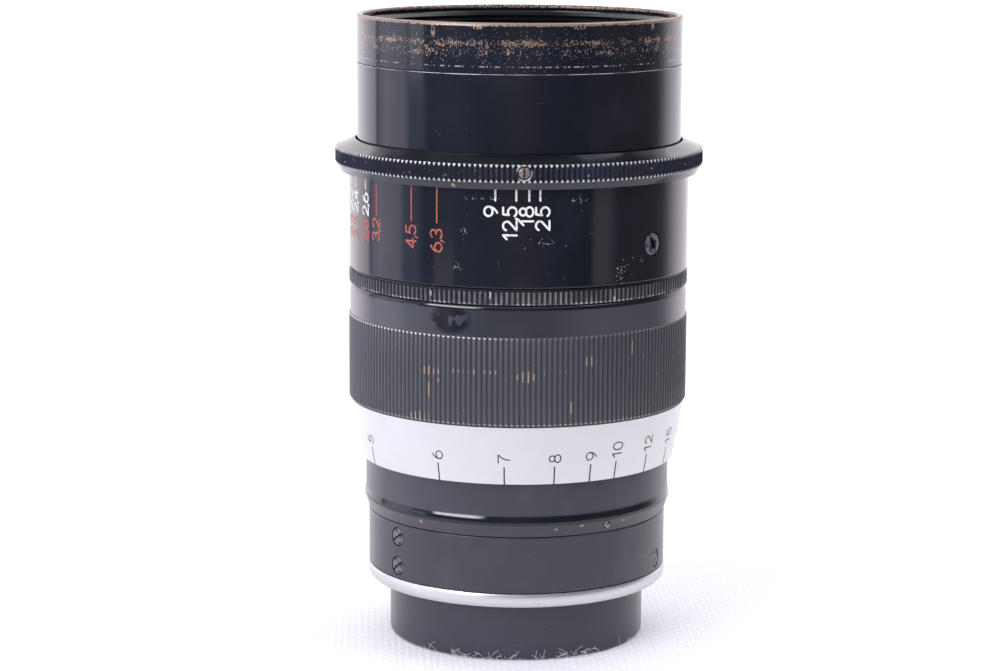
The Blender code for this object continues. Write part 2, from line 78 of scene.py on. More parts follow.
# Aperture scale on the body barrel: azimuth of each mark
WHITE_MARKS = {"9": -7.42, "12,5": -0.72, "18": 3.41, "25": 6.92}
WHITE_SHIFT = {"9": -0.65, "12,5": -0.95, "18": -0.4, "25": 0.4}
RED_MARKS = {"6,3": -27.2, "4,5": -37.1, "3,2": -54.2}
DOUBLE_MARKS = (("2,6", "2,8", -61.5), ("2,4", "2,5", -70.2), ("2,2", "2,3", -76.5))
RED_DROP = {"6,3": 6.4, "4,5": 6.15, "3,2": 5.95}
NUMBER_HEIGHT = 2.04
NUMBER_STROKE = 0.32
RED_HEIGHT = 1.94
RED_STROKE = 0.27
DISTANCE_HEIGHT = 1.8
DISTANCE_STROKE = 0.19

INDEX_AZIMUTH = -19.95
DOT_TILT = 38  # how far the index dot leans with the ring's lower bevel
LIFT = 0.012  # how far paint and scratches lie above the metal

KEY_AZIMUTH = -51.5
BARREL_RADIUS = 24.39  # of the sliding barrel, above its bead
CONE_FOOT = 25.06  # radius of the distance scale's cone at its lower end


# ---------------------------------------------------------------- frame helpers


def span(node):
    """A node's lowest and highest point and its outer radius, in millimetres."""
    low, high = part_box(node)
    return low.z / MM, high.z / MM, high.x / MM


def on_cylinder(radius, azimuth, z):
    angle = math.radians(azimuth)
    return Vector((radius * math.sin(angle), -radius * math.cos(angle), z)) * MM


def outward(azimuth, z):
    """A frame on the optical axis whose local +Z points outwards at an azimuth."""
    turn = Matrix.Rotation(math.radians(azimuth), 4, "Z") @ Matrix.Rotation(math.radians(90), 4, "X")
    return Matrix.Translation((0, 0, z * MM)) @ turn


def settle(piece, body, material, replaces=()):
    """Give a finished piece its material, its body and the CAD nodes that it stands for."""
    piece.data.materials.clear()
    piece.data.materials.append(material)
    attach(piece, body)
    if replaces:
        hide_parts(*replaces)
    return piece


# ---------------------------------------------------------------- material graphs

# The colour sockets of a Mix node, which share their names with its other sockets
COLOUR_A, COLOUR_B, COLOUR_RESULT = 6, 7, 2


class Value:
    """An output in a node tree. Sums, products and so on of values are Math nodes."""

    def __init__(self, nodes, socket):
        self.nodes, self.socket = nodes, socket

    def __add__(self, other):
        return self.nodes.math("ADD", self, other)

    def __sub__(self, other):
        return self.nodes.math("SUBTRACT", self, other)

    def __rsub__(self, other):
        return self.nodes.math("SUBTRACT", other, self)

    def __mul__(self, other):
        return self.nodes.math("MULTIPLY", self, other)

    def __truediv__(self, other):
        return self.nodes.math("DIVIDE", self, other)


def opaque(colour):
    return colour if isinstance(colour, Value) else (*colour, 1.0)


class Nodes:
    """Short calls for adding nodes to a tree. What they give back is a Value."""

    def __init__(self, tree, coordinates):
        self.tree = tree
        self.position = self.add("TexCoord", {}, coordinates)
        split = tree.nodes.new("ShaderNodeSeparateXYZ")
        self.put(split.inputs[0], self.position)
        self.x, self.y, self.z = (Value(self, output) for output in split.outputs)

    def put(self, socket, value):
        if isinstance(value, Value):
            self.tree.links.new(value.socket, socket)
        else:
            socket.default_value = value

    def add(self, kind, inputs, output=0, **settings):
        """Add a node, fill its inputs with numbers or values, and give one output."""
        item = self.tree.nodes.new(f"ShaderNode{kind}")
        for name, setting in settings.items():
            setattr(item, name, setting)
        for name, value in inputs.items():
            self.put(item.inputs[name], value)
        return Value(self, item.outputs[output])

    def math(self, operation, a, b=0.0):
        return self.add("Math", {0: a, 1: b}, operation=operation)

    def heading(self):
        """The angle round the axis, from -Y towards +X, in radians."""
        return self.math("ARCTAN2", self.x, self.y * -1.0)

    def step(self, value, low, high):
        """0 below low, 1 above high, smooth between; low above high turns it round."""
        inputs = {"Value": value, "From Min": min(low, high), "From Max": max(low, high)}
        if low > high:
            inputs.update({"To Min": 1.0, "To Max": 0.0})
        return self.add("MapRange", inputs, interpolation_type="SMOOTHSTEP")

    def mix(self, factor, a, b):
        """A colour between a and b."""
        inputs = {"Factor": factor, COLOUR_A: opaque(a), COLOUR_B: opaque(b)}
        return self.add("Mix", inputs, COLOUR_RESULT, data_type="RGBA")


class Graph(Nodes):
    """The nodes of one material, round its Principled BSDF. Lengths are in millimetres."""

    def __init__(self, name):
        self.material = bpy.data.materials.new(name)
        self.material.use_nodes = True
        super().__init__(self.material.node_tree, "Object")
        self.shader = self.tree.nodes["Principled BSDF"]
        self.z = self.z * (1 / MM)

    def range(self, value, low, high):
        """A 0 to 1 value spread between low and high."""
        return self.add("MapRange", {"Value": value, "To Min": low, "To Max": high})

    def noise(self, per_mm, detail=3.0, stretch=(1.0, 1.0, 1.0), seed=0.0):
        """Noise with a number of cells per millimetre; stretch squeezes them by axis."""
        start = (seed * 0.1, seed * 0.07, seed * 0.13)
        place = self.add("Mapping", {"Scale": stretch, "Location": start, "Vector": self.position})
        inputs = {"Scale": per_mm / MM, "Detail": detail, "Vector": place}
        return self.add("TexNoise", inputs, "Fac")

    def blend(self, factor, a, b):
        """A number between a and b."""
        return self.add("Mix", {"Factor": factor, "A": a, "B": b}, "Result")

    def greatest(self, *masks):
        result = masks[0]
        for mask in masks[1:]:
            result = self.math("MAXIMUM", result, mask)
        return result

    def radius(self):
        squares = self.x * self.x + self.y * self.y
        return self.math("SQRT", squares) * (1 / MM)

    def azimuth(self):
        return self.heading() * math.degrees(1.0)

    def spot(self, azimuth, z, width, height):
        """1 in a patch at an azimuth and a height, falling to 0 at its edge."""
        across = (self.azimuth() - azimuth) / width
        up = (self.z - z) / height
        return self.step(across * across + up * up, 1.0, 0.35)

    def away_from(self, point):
        """The distance to a point, in millimetres."""
        inputs = {0: self.position, 1: point}
        return self.add("VectorMath", inputs, "Value", operation="DISTANCE") * (1 / MM)

    def near(self, z, width):
        """1 at height z, falling to 0 a width away."""
        return self.step(self.math("ABSOLUTE", self.z - z), width, 0.0)

    def within(self, low, high, soft):
        """1 between two heights, with soft ends."""
        above = self.step(self.z, low - soft, low + soft)
        return above * self.step(self.z, high + soft, high - soft)

    def bump(self, height, strength, distance):
        inputs = {"Strength": strength, "Distance": distance * MM, "Height": height}
        self.put(self.shader.inputs["Normal"], self.add("Bump", inputs))

    def finish(self, colour, roughness, metallic):
        self.put(self.shader.inputs["Base Color"], colour)
        self.put(self.shader.inputs["Roughness"], roughness)
        self.put(self.shader.inputs["Metallic"], metallic)
        return self.material


def scaled(colour, by):
    return tuple(part * by for part in colour)


BRASS = (0.42, 0.27, 0.15)
COPPER = (0.38, 0.255, 0.18)
PALE_METAL = (0.42, 0.41, 0.41)
WHITE_METAL = (0.78, 0.77, 0.78)
SPECK_METAL = (0.40, 0.38, 0.43)
GLOSS = (0.0062, 0.0068, 0.0102)  # the bare lacquer, where nothing has dulled it


def edge_chips(graph, z, width, amount, seed, fine=1.6):
    """Wear that follows an edge at height z; amount 0 to 1 is how much is gone."""
    grain = graph.noise(fine, 4.0, seed=seed)
    level = graph.near(z, width) * amount + grain
    return graph.step(level, 0.98, 1.06)


def flecks(graph, z, spread, seed, fine=4.6, bare=1.13):
    """Small chips round height z, gathered into drifts; bare sets how few there are."""
    grain = graph.noise(fine, 2.0, (1.0, 1.0, 0.7), seed)
    drift = graph.noise(0.5, 3.0, (1.0, 1.0, 0.5), seed + 3.1)
    row = graph.near(z, spread) * 0.25
    level = drift * 0.7 + row + grain
    return graph.step(level, bare, bare + 0.035)


def speckle(graph, low, high, amount, seed, flat=2.6, fine=2.3):
    """Chips in a band: grains gathered into drifts, longer round the ring than up it."""
    grain = graph.noise(fine, 3.0, (1.0, 1.0, flat), seed)
    drift = graph.noise(0.22, 2.0, (1.0, 1.0, 1.6), seed + 3.1)
    level = drift * amount + grain
    band = graph.within(low, high, 0.5)
    return graph.step(level, 1.02, 1.07) * band


def lacquer(
    name, colour, roughness, wear=(), chips=BRASS, shine=0.8, polish=None, turning=0.12, pale=()
):
    """Black lacquer over metal. wear and pale are lists of functions that each give a
    mask: of metal coloured as chips, and of specks nearly white; on some rings these masks
    also carry painted highlights. polish gives the mask of a glossy part, and turning is how
    far the turning lines change the gloss."""
    graph = Graph(name)
    cloud = graph.noise(0.12, 4.0, seed=1.7)
    rings = graph.noise(0.5, 2.0, (0.05, 0.05, 9.0), 4.2)
    lighter = tuple(c * 1.35 + 0.001 for c in colour)
    base = graph.mix(graph.step(cloud, 0.42, 0.75), colour, lighter)
    dull = graph.range(graph.blend(turning, cloud, rings), roughness, roughness * 1.35 + 0.015)
    if polish:
        glossy = polish(graph)
        base = graph.mix(glossy, base, GLOSS)
        dull = graph.blend(glossy, dull, 0.06)
    mask = graph.greatest(*(make(graph) for make in wear)) if wear else 0.0
    metal = graph.mix(graph.noise(3.0, 2.0, seed=9.0), chips, scaled(chips, 0.5))
    if pale:
        white = graph.greatest(*(make(graph) for make in pale))
        metal = graph.mix(white, metal, SPECK_METAL)
        mask = graph.greatest(mask, white)
    graph.bump(rings * 0.1 + graph.noise(0.8, 3.0, seed=2.2), 0.03, 0.02)
    return graph.finish(
        graph.mix(mask, base, metal),
        graph.blend(mask, dull, 0.4),
        mask * shine if wear else 0.0,
    )


def filter_ring_material(seam, high, radius):
    """Worn at the rim and along the band that fingers and lens hoods have rubbed."""
    chipped = (
        (-30.4, 98.4, 1.0, 1.3), (-14.0, 98.95, 2.6, 0.4), (20.5, 98.95, 2.4, 0.4),
        (52.0, 98.7, 1.0, 0.7),
    )

    def running_chips(graph):
        patches = graph.greatest(*(graph.spot(*row) for row in chipped))
        return patches * graph.step(graph.noise(3.2, 3.0, (1.0, 1.0, 0.5), 3.0), 0.44, 0.52)

    def outside(graph, mask):
        return mask * graph.step(graph.radius(), radius - 0.5, radius - 0.3)

    def rim(graph):
        """Bare along the outer corner, and worn through in places on the flat top."""
        top = graph.step(graph.z, high - 0.3, high - 0.2)
        corner = graph.step(graph.radius(), radius - 0.36, radius - 0.2)
        patches = graph.step(graph.noise(1.3, 4.0, seed=21.0), 0.52, 0.6)
        return top * graph.greatest(corner, patches)

    def specks(graph):
        grain = graph.noise(5.2, 1.0, (1.0, 1.0, 0.8), 17.0)
        crowd = graph.near(95.6, 3.4) * 0.055
        return outside(graph, graph.step(grain + crowd, 0.735, 0.76))

    def dashes(graph):
        run = graph.step(graph.noise(1.9, 3.0, (1.0, 1.0, 0.1), 8.0), 0.5, 0.58)
        return run * graph.near(seam + 1.0, 0.16)

    wear = [
        lambda graph: edge_chips(graph, high - 0.35, 0.5, 0.62, 1.0, 3.0),
        lambda graph: outside(graph, flecks(graph, 96.5, 1.15, 5.0)),
        lambda graph: outside(graph, flecks(graph, 95.2, 1.6, 12.0, 4.0, 1.2)),
        running_chips,
        rim,
    ]
    return lacquer("front_lacquer_worn", GLOSS, 0.05, wear, COPPER, 0.4, pale=[specks, dashes])


def chrome(name, colour, roughness, nicks=0.0):
    """Satin chrome with fine turning marks and a few dark nicks."""
    graph = Graph(name)
    rings = graph.noise(1.0, 3.0, (0.03, 0.03, 12.0), 0.4)
    cloud = graph.noise(0.2, 3.0, seed=6.0)
    dark = graph.step(graph.noise(1.7, 3.0, seed=3.3), 0.7, 0.76) * nicks
    tone = graph.mix(cloud, scaled(colour, 0.93), colour)
    graph.bump(rings, 0.12, 0.02)
    return graph.finish(
        graph.mix(dark, tone, (0.12, 0.11, 0.11)),
        graph.range(rings * cloud, roughness, roughness + 0.16),
        1.0,
    )


def plain_metal(name, colour, roughness, dirt=0.4):
    """Turned metal with dull, darker patches."""
    graph = Graph(name)
    patch = graph.step(graph.noise(0.35, 3.0, seed=2.0), 0.4, 0.75)
    rings = graph.noise(1.0, 2.0, (0.1, 0.1, 8.0), 1.0)
    graph.bump(rings, 0.15, 0.03)
    tone = graph.mix(patch * dirt, colour, scaled(colour, 0.3))
    return graph.finish(tone, graph.range(patch, roughness, roughness + 0.2), 1.0)


def oiled_brass():
    """Brass that slides under grease: streaks along it and a darker film in patches."""
    graph = Graph("oiled_brass")
    film = graph.step(graph.noise(0.12, 5.0, seed=2.0), 0.35, 0.8)
    streaks = graph.noise(3.0, 3.0, (1.0, 1.0, 0.06), 5.0)
    rings = graph.noise(1.0, 2.0, (0.05, 0.05, 9.0), 1.0)
    tone = graph.mix(streaks, (0.45, 0.30, 0.13), (0.34, 0.22, 0.09))
    tone = graph.mix(film * 0.55, tone, (0.15, 0.095, 0.04))
    graph.bump(rings, 0.1, 0.02)
    return graph.finish(tone, graph.range(film, 0.24, 0.38), 1.0)


def inner_paint(name):
    """Matte black paint inside the lens, with a little dust."""
    graph = Graph(name)
    dust = graph.step(graph.noise(4.0, 2.0, seed=7.0), 0.68, 0.74)
    cloud = graph.noise(0.4, 3.0, seed=2.0)
    base = graph.mix(cloud, (0.006, 0.006, 0.008), (0.016, 0.016, 0.019))
    graph.bump(graph.noise(6.0, 2.0), 0.2, 0.02)
    return graph.finish(
        graph.mix(dust * 0.12, base, (0.3, 0.3, 0.3)),
        graph.range(cloud, 0.45, 0.62),
        0.0,
    )


def cap_material():
    """Moulded black plastic, matte, with a faint purple cast and small scuffs."""
    graph = Graph("cap_plastic")
    cloud = graph.noise(0.15, 4.0, seed=3.0)
    scuff = graph.step(graph.noise(1.4, 3.0, (1.0, 1.0, 3.0), 8.0), 0.66, 0.74)
    base = graph.mix(cloud, (0.028, 0.022, 0.035), (0.040, 0.032, 0.048))
    graph.bump(graph.noise(5.0, 3.0), 0.12, 0.02)
    return graph.finish(
        graph.mix(scuff * 0.25, base, (0.16, 0.15, 0.17)),
        graph.range(cloud, 0.22, 0.30),
        0.0,
    )


def paint(name, colour, worn, wear):
    """Paint in an engraved line: chalky, with places where it has gone."""
    graph = Graph(name)
    gone = graph.step(graph.noise(2.6, 3.0, seed=5.0), 0.62 - wear * 0.25, 0.72 - wear * 0.2)
    tone = graph.mix(graph.noise(3.5, 2.0, seed=1.0), colour, scaled(colour, 0.72))
    graph.bump(graph.noise(5.0, 2.0), 0.3, 0.03)
    return graph.finish(graph.mix(gone, tone, worn), graph.range(gone, 0.55, 0.75), 0.0)


def glass(name, tint, roughness=0.0):
    """Optical glass that shows little of the sky, with a faint film of haze."""
    graph = Graph(name)
    haze = graph.step(graph.noise(0.15, 4.0, seed=2.0), 0.45, 0.8)
    graph.shader.inputs["Transmission Weight"].default_value = 1.0
    graph.shader.inputs["IOR"].default_value = 1.6
    graph.shader.inputs["Specular Tint"].default_value = (0.2, 0.23, 0.34, 1.0)
    return graph.finish((*tint, 1.0), graph.range(haze, roughness, roughness + 0.02), 0.0)


# ---------------------------------------------------------------- turned pieces

SHARP_EDGE = math.radians(38)
BRACE = 1.3  # how far out a rounding's bracing points lie, in bevels


def softened(points, segments=3):
    """A profile with its corners rounded; a point is (r, z) or (r, z, bevel). A point just
    beyond each end of the rounding keeps the shading of the long faces flat."""
    result = []
    count = len(points)
    for i, point in enumerate(points):
        here = Vector(point[:2])
        bevel = point[2] if len(point) > 2 else 0.0
        if not bevel:
            result.append(tuple(here))
            continue
        before = (Vector(points[i - 1][:2]) - here).normalized() * bevel
        after = (Vector(points[(i + 1) % count][:2]) - here).normalized() * bevel
        result.append(tuple(here + before * BRACE))
        for step in range(segments + 1):
            t = step / segments
            result.append(tuple(here + before * (1 - t) ** 2 + after * t**2))
        result.append(tuple(here + after * BRACE))
    return result


def knurl_depths(knurl, columns):
    """How far each column is cut in: V grooves with flat lands between them."""
    place = np.arange(columns) / columns * knurl["count"] % 1.0
    groove = 1.0 - np.abs(place - 0.5) / (knurl["share"] / 2)
    return np.clip(groove, 0.0, 1.0) * knurl["depth"]


def turned_mesh(name, points, knurl=None, columns=PLAIN_COLUMNS):
    """A turned mesh. The profile runs down the outer side and back up the inner one.
    A knurl also has low and high, the heights between which it is cut."""
    profile = np.array(softened(points))
    if knurl:
        columns = knurl["count"] * COLUMNS_PER_TOOTH
    angle = np.arange(columns) * (2 * math.pi / columns)
    radius = np.repeat(profile[:, :1], columns, axis=1)
    if knurl:
        top = profile[:, 0].max()
        cut = (profile[:, 1] > knurl["low"] - 0.01) & (profile[:, 1] < knurl["high"] + 0.01)
        cut &= profile[:, 0] > top - 0.5
        radius[cut] = np.minimum(radius[cut], top - knurl_depths(knurl, columns))
    height = np.repeat(profile[:, 1:], columns, axis=1)
    vertices = np.stack((radius * np.sin(angle), -radius * np.cos(angle), height), axis=-1)
    rows = len(profile)
    row, column = np.meshgrid(np.arange(rows), np.arange(columns), indexing="ij")
    below, beside = (row + 1) % rows, (column + 1) % columns
    corners = ((row, column), (below, column), (below, beside), (row, beside))
    faces = np.stack([i * columns + j for i, j in corners], axis=-1).reshape(-1, 4)
    mesh = bpy.data.meshes.new(name)
    mesh.from_pydata((vertices.reshape(-1, 3) * MM).tolist(), [], faces.tolist())
    return shaded(mesh)


def shaded(mesh):
    """Shade a mesh smooth between its sharp edges."""
    mesh.shade_smooth()
    mesh.set_sharp_from_angle(angle=SHARP_EDGE)
    return mesh


def mesh_from(name, shape):
    """A mesh made from a bmesh, which is freed."""
    mesh = bpy.data.meshes.new(name)
    shape.to_mesh(mesh)
    shape.free()
    return mesh


def add_piece(name, mesh):
    item = bpy.data.objects.new(name, mesh)
    bpy.context.scene.collection.objects.link(item)
    return item


def turn_piece(name, points, knurl=None):
    return add_piece(name, turned_mesh(name, points, knurl))


def lens_mesh(name, points):
    """A turned mesh whose profile starts and ends on the axis."""
    mesh = turned_mesh(name, points, columns=96)
    shape = bmesh.new()
    shape.from_mesh(mesh)
    bmesh.ops.remove_doubles(shape, verts=shape.verts, dist=0.00001)
    shape.to_mesh(mesh)
    shape.free()
    return shaded(mesh)


def add_box(shape, place, size):
    """Add a box of a size in millimetres to a bmesh."""
    sides = Matrix.Diagonal((*(side * MM for side in size), 1.0))
    bmesh.ops.create_cube(shape, size=1.0, matrix=place @ sides)


def cut_away(piece, shape):
    """Apply a difference with a bmesh, which is freed."""
    cutter = add_piece("cutter", mesh_from("cutter", shape))
    step = piece.modifiers.new("cut", "BOOLEAN")
    step.operation = "DIFFERENCE"
    step.solver = "EXACT"
    step.object = cutter
    graph = bpy.context.evaluated_depsgraph_get()
    graph.update()
    result = bpy.data.meshes.new_from_object(piece.evaluated_get(graph))
    piece.modifiers.clear()
    piece.data = shaded(result)
    bpy.data.objects.remove(cutter)


def drilled(piece, holes):
    """Sink round seats for screws: each is azimuth, z, radius and depth from-to."""
    shape = bmesh.new()
    for azimuth, z, radius, low, high in holes:
        place = outward(azimuth, z) @ Matrix.Translation((0, 0, (low + high) / 2 * MM))
        sizes = {"radius1": radius * MM, "radius2": radius * MM, "depth": (high - low) * MM}
        bmesh.ops.create_cone(shape, cap_ends=True, segments=40, matrix=place, **sizes)
    cut_away(piece, shape)


def cut_slot(piece, azimuth, width, radii, heights):
    """Cut a slot through a ring at an azimuth, between two radii and two heights."""
    shape = bmesh.new()
    middle = Vector((0, -sum(radii) / 2, sum(heights) / 2)) * MM
    place = Matrix.Rotation(math.radians(azimuth), 4, "Z") @ Matrix.Translation(middle)
    add_box(shape, place, (width, radii[1] - radii[0], heights[1] - heights[0]))
    cut_away(piece, shape)


# ---------------------------------------------------------------- visible rings

# Azimuth and height of the screws
COLLAR_SCREWS = ((-51.5, 13.6), (68.5, 13.6), (188.5, 13.6), (-51.5, 18.3))
RING_SCREW = (1.63, 77.57)
BODY_SCREW = (49.97, 65.43)
SET_SCREW = (35.3, 21.75)
CAM_SCREW = (128.5, 10.36)
CAM_TRAVEL = 2.96


def make_filter_ring():
    low, high, radius = span("filter_ring")
    seam = span("front_barrel")[1] + 0.15
    bore, mouth = 24.2, 24.77
    ledge, thread_low, thread_high = 92.9, 93.4, 98.4
    points = [
        (mouth + 0.35, high, 0.12), (radius - 0.12, high - 0.05, 0.15), (radius, high - 0.55, 0.1),
        (radius, seam + 0.05, 0.04), (24.0, seam), (24.0, low), (23.3, low), (23.3, ledge),
        (bore, ledge), (bore, thread_low),
    ]
    for turn in range(int((thread_high - thread_low) / THREAD_PITCH)):
        base = thread_low + turn * THREAD_PITCH
        points.append((bore + THREAD_DEPTH, base + THREAD_PITCH / 2))
        points.append((bore, base + THREAD_PITCH))
    points += [(mouth, 98.5, 0.1), (mouth, high - 0.2, 0.1)]
    piece = turn_piece("filter_ring_finish", points)
    material = filter_ring_material(seam, high, radius)
    settle(piece, "focus_head", material, ["filter_ring"])


def make_front_barrel():
    low, high, radius = span("front_barrel")
    shoulder = span("aperture_ring")[1] + 0.12
    points = [
        (radius, high + 0.09, 0.13), (radius, shoulder, 0.04), (24.5, shoulder), (24.5, low),
        (22.7, low), (22.7, shoulder), (24.3, shoulder), (24.3, high),
    ]
    piece = turn_piece("front_barrel_finish", points)

    # A pale line along the top edge, broken in places: a painted highlight where the small bevel
    # catches the light.
    def painted_seam_highlight(graph):
        broken = graph.range(graph.step(graph.noise(0.35, 3.0, seed=2.0), 0.38, 0.55), 0.3, 1.0)
        return graph.step(graph.z, high - 0.06, high) * broken

    wear = [lambda graph: speckle(graph, 81.0, 91.0, 0.4, 3.0, 1.5, 2.8)]
    material = lacquer("front_barrel_lacquer", GLOSS, 0.05, wear, PALE_METAL, pale=[painted_seam_highlight])
    settle(piece, "focus_head", material, ["front_barrel"])


RING_CREST = (76.53, 78.39)  # the aperture ring's knurl at its full height
RING_END = (76.13, 78.81)  # and where its end chamfers run out
CHAMFER_DEPTH = 0.17


def ring_profile(radius, low, high):
    """The aperture ring: a knurled edge with chamfered ends between two bevels."""
    root = radius - APERTURE_KNURL["depth"]
    points = [(26.35, high, 0.1), (root, RING_END[1] + 0.01)]
    steps = [step / 4 for step in range(5)]
    rise = RING_END[1] - RING_CREST[1]
    fall = RING_CREST[0] - RING_END[0]
    points += [(radius - CHAMFER_DEPTH * (1 - t), RING_END[1] - t * rise) for t in steps]
    points += [(radius - CHAMFER_DEPTH * t, RING_CREST[0] - t * fall) for t in steps]
    points += [(root, RING_END[0] - 0.01), (28.58, 75.6), (28.45, 75.2)]
    return points + [(28.38, low + 0.03, 0.03), (26.0, low), (26.0, high)]


def make_aperture_ring():
    low, high, radius = span("aperture_ring")
    knurl = {**APERTURE_KNURL, "low": RING_END[0], "high": RING_END[1]}
    piece = turn_piece("aperture_ring_finish", ring_profile(radius, low, high), knurl)
    azimuth, z = RING_SCREW
    drilled(piece, [(azimuth, z, 1.06, 28.3, 31.0)])
    slope = CHAMFER_DEPTH / (RING_END[1] - RING_CREST[1])

    def tips(graph):
        """The teeth's chamfered ends, worn to bare metal."""
        over = graph.z - RING_CREST[1]
        under = RING_CREST[0] - graph.z
        rise = graph.greatest(over, under)
        chamfer = radius - rise * slope
        facet = graph.step(graph.radius() - chamfer, -0.07, -0.03)
        ends = graph.step(rise, -0.02, 0.04) * graph.step(rise, 0.46, 0.42)
        worn = graph.range(graph.step(graph.noise(0.9, 3.0, seed=4.0), 0.35, 0.55), 0.6, 1.0)
        return facet * ends * worn

    def flanks(graph):
        grain = graph.step(graph.noise(2.4, 3.0, (1.0, 1.0, 0.7), 6.0), 0.68, 0.72)
        return grain * graph.within(*RING_CREST, 0.1)

    def seat_edge(graph):
        away = graph.away_from(on_cylinder(radius, azimuth, z))
        ring = graph.step(away, 1.0, 1.08) * graph.step(away, 1.32, 1.2)
        return ring * graph.step(graph.noise(0.7, 2.0, seed=1.2), 0.36, 0.5)

    def bevel(graph):
        return graph.step(graph.z, RING_END[1], RING_END[1] + 0.05)

    wear = [tips, flanks, seat_edge]
    colour = (0.016, 0.017, 0.025)
    material = lacquer("aperture_ring_lacquer", colour, 0.11, wear, WHITE_METAL, 0.25, bevel)
    settle(piece, "aperture", material, ["aperture_ring"])


def make_body_barrel():
    low, high, radius = span("body_barrel")
    points = [
        (radius, high, 0.05), (radius, low + 0.12, 0.12), (radius - 0.1, low, 0.05), (26.0, low),
        (26.0, high),
    ]
    piece = turn_piece("body_barrel_finish", points)
    drilled(piece, [(*BODY_SCREW, 1.9, 26.3, 29.0)])

    def around_screw(graph):
        away = graph.away_from(on_cylinder(radius, *BODY_SCREW))
        grain = graph.noise(2.4, 3.0, seed=11.0)
        return graph.step(graph.step(away, 2.4, 1.9) * 0.35 + grain, 0.95, 1.02)

    wear = [
        lambda graph: speckle(graph, low + 0.5, high, 0.4, 12.0, 1.8, 2.8),
        around_screw,
        lambda graph: edge_chips(graph, low + 0.1, 0.2, 0.36, 14.0),
    ]
    material = lacquer("body_lacquer", GLOSS, 0.055, wear, PALE_METAL)
    settle(piece, "focus_head", material, ["body_barrel"])


def make_lock_ring():
    low, high, radius = span("head_lock_ring")
    knurl = {**LOCK_KNURL, "low": 57.36, "high": 59.27}
    points = [
        (25.7, high), (25.7, 59.6), (26.6, 59.6), (26.6, 59.4), (radius - 0.12, 59.34),
        (radius, 59.27), (radius, 57.36), (radius - 0.12, 57.26), (26.55, 57.2), (24.7, 57.2),
        (24.7, low), (23.6, low), (23.6, high),
    ]
    piece = turn_piece("lock_ring_finish", points, knurl)

    # The crests painted lighter: partly worn lacquer, partly a painted highlight that is strongest
    # towards the front.
    def crest_wear_and_highlight(graph):
        crest = graph.step(graph.radius(), radius - 0.07, radius - 0.02)
        worn = graph.step(graph.noise(0.4, 3.0, seed=21.0), 0.35, 0.65)
        away = graph.math("ABSOLUTE", graph.azimuth() - 8.0)
        worn = worn * graph.range(graph.step(away, 45.0, 12.0), 0.3, 1.0)
        return crest * graph.range(worn, 0.2, 0.9)

    def painted_tooth_glints(graph):
        """Painted glints: pale at the lower ends of the teeth, and here and there along a whole
        tooth.
        """
        crest = graph.step(graph.radius(), radius - 0.14, radius - 0.08)
        foot = graph.near(57.42, 0.24) * graph.step(graph.noise(0.5, 2.0, seed=4.4), 0.4, 0.52)
        whole = graph.step(graph.noise(1.3, 2.0, (1.0, 1.0, 0.3), 2.0), 0.68, 0.71)
        return crest * graph.greatest(foot, whole)

    colour = (0.016, 0.016, 0.020)
    # bare is the crests' tone: bare metal and painted highlight.
    bare = (0.24, 0.235, 0.25)
    material = lacquer("lock_ring_lacquer", colour, 0.22, [crest_wear_and_highlight], bare, 0.2, pale=[painted_tooth_glints])
    settle(piece, "focus_head", material, ["head_lock_ring"])


# Brass showing on the ridges of the focusing ring: azimuth, height, half sizes, how much
FOCUS_WEAR = (
    (-29.6, 46.6, 4.5, 0.9, 0.9), (-27.5, 45.3, 2.6, 0.45, 0.75), (2.8, 46.3, 4.4, 1.1, 1.0),
    (-13.0, 46.95, 13.0, 0.5, 0.62), (12.0, 46.9, 8.0, 0.5, 0.55), (24.1, 48.4, 3.2, 0.9, 0.85),
    (40.4, 49.9, 1.4, 1.3, 0.9), (18.0, 41.4, 1.3, 1.2, 0.9), (-29.5, 43.7, 2.2, 1.7, 0.7),
    (-10.0, 48.6, 2.0, 1.0, 0.5), (-33.0, 39.4, 6.0, 0.9, 0.6), (120.0, 45.5, 14.0, 0.8, 0.8),
    (-135.0, 47.5, 9.0, 1.0, 0.8), (168.0, 42.0, 4.0, 1.2, 0.7),
)


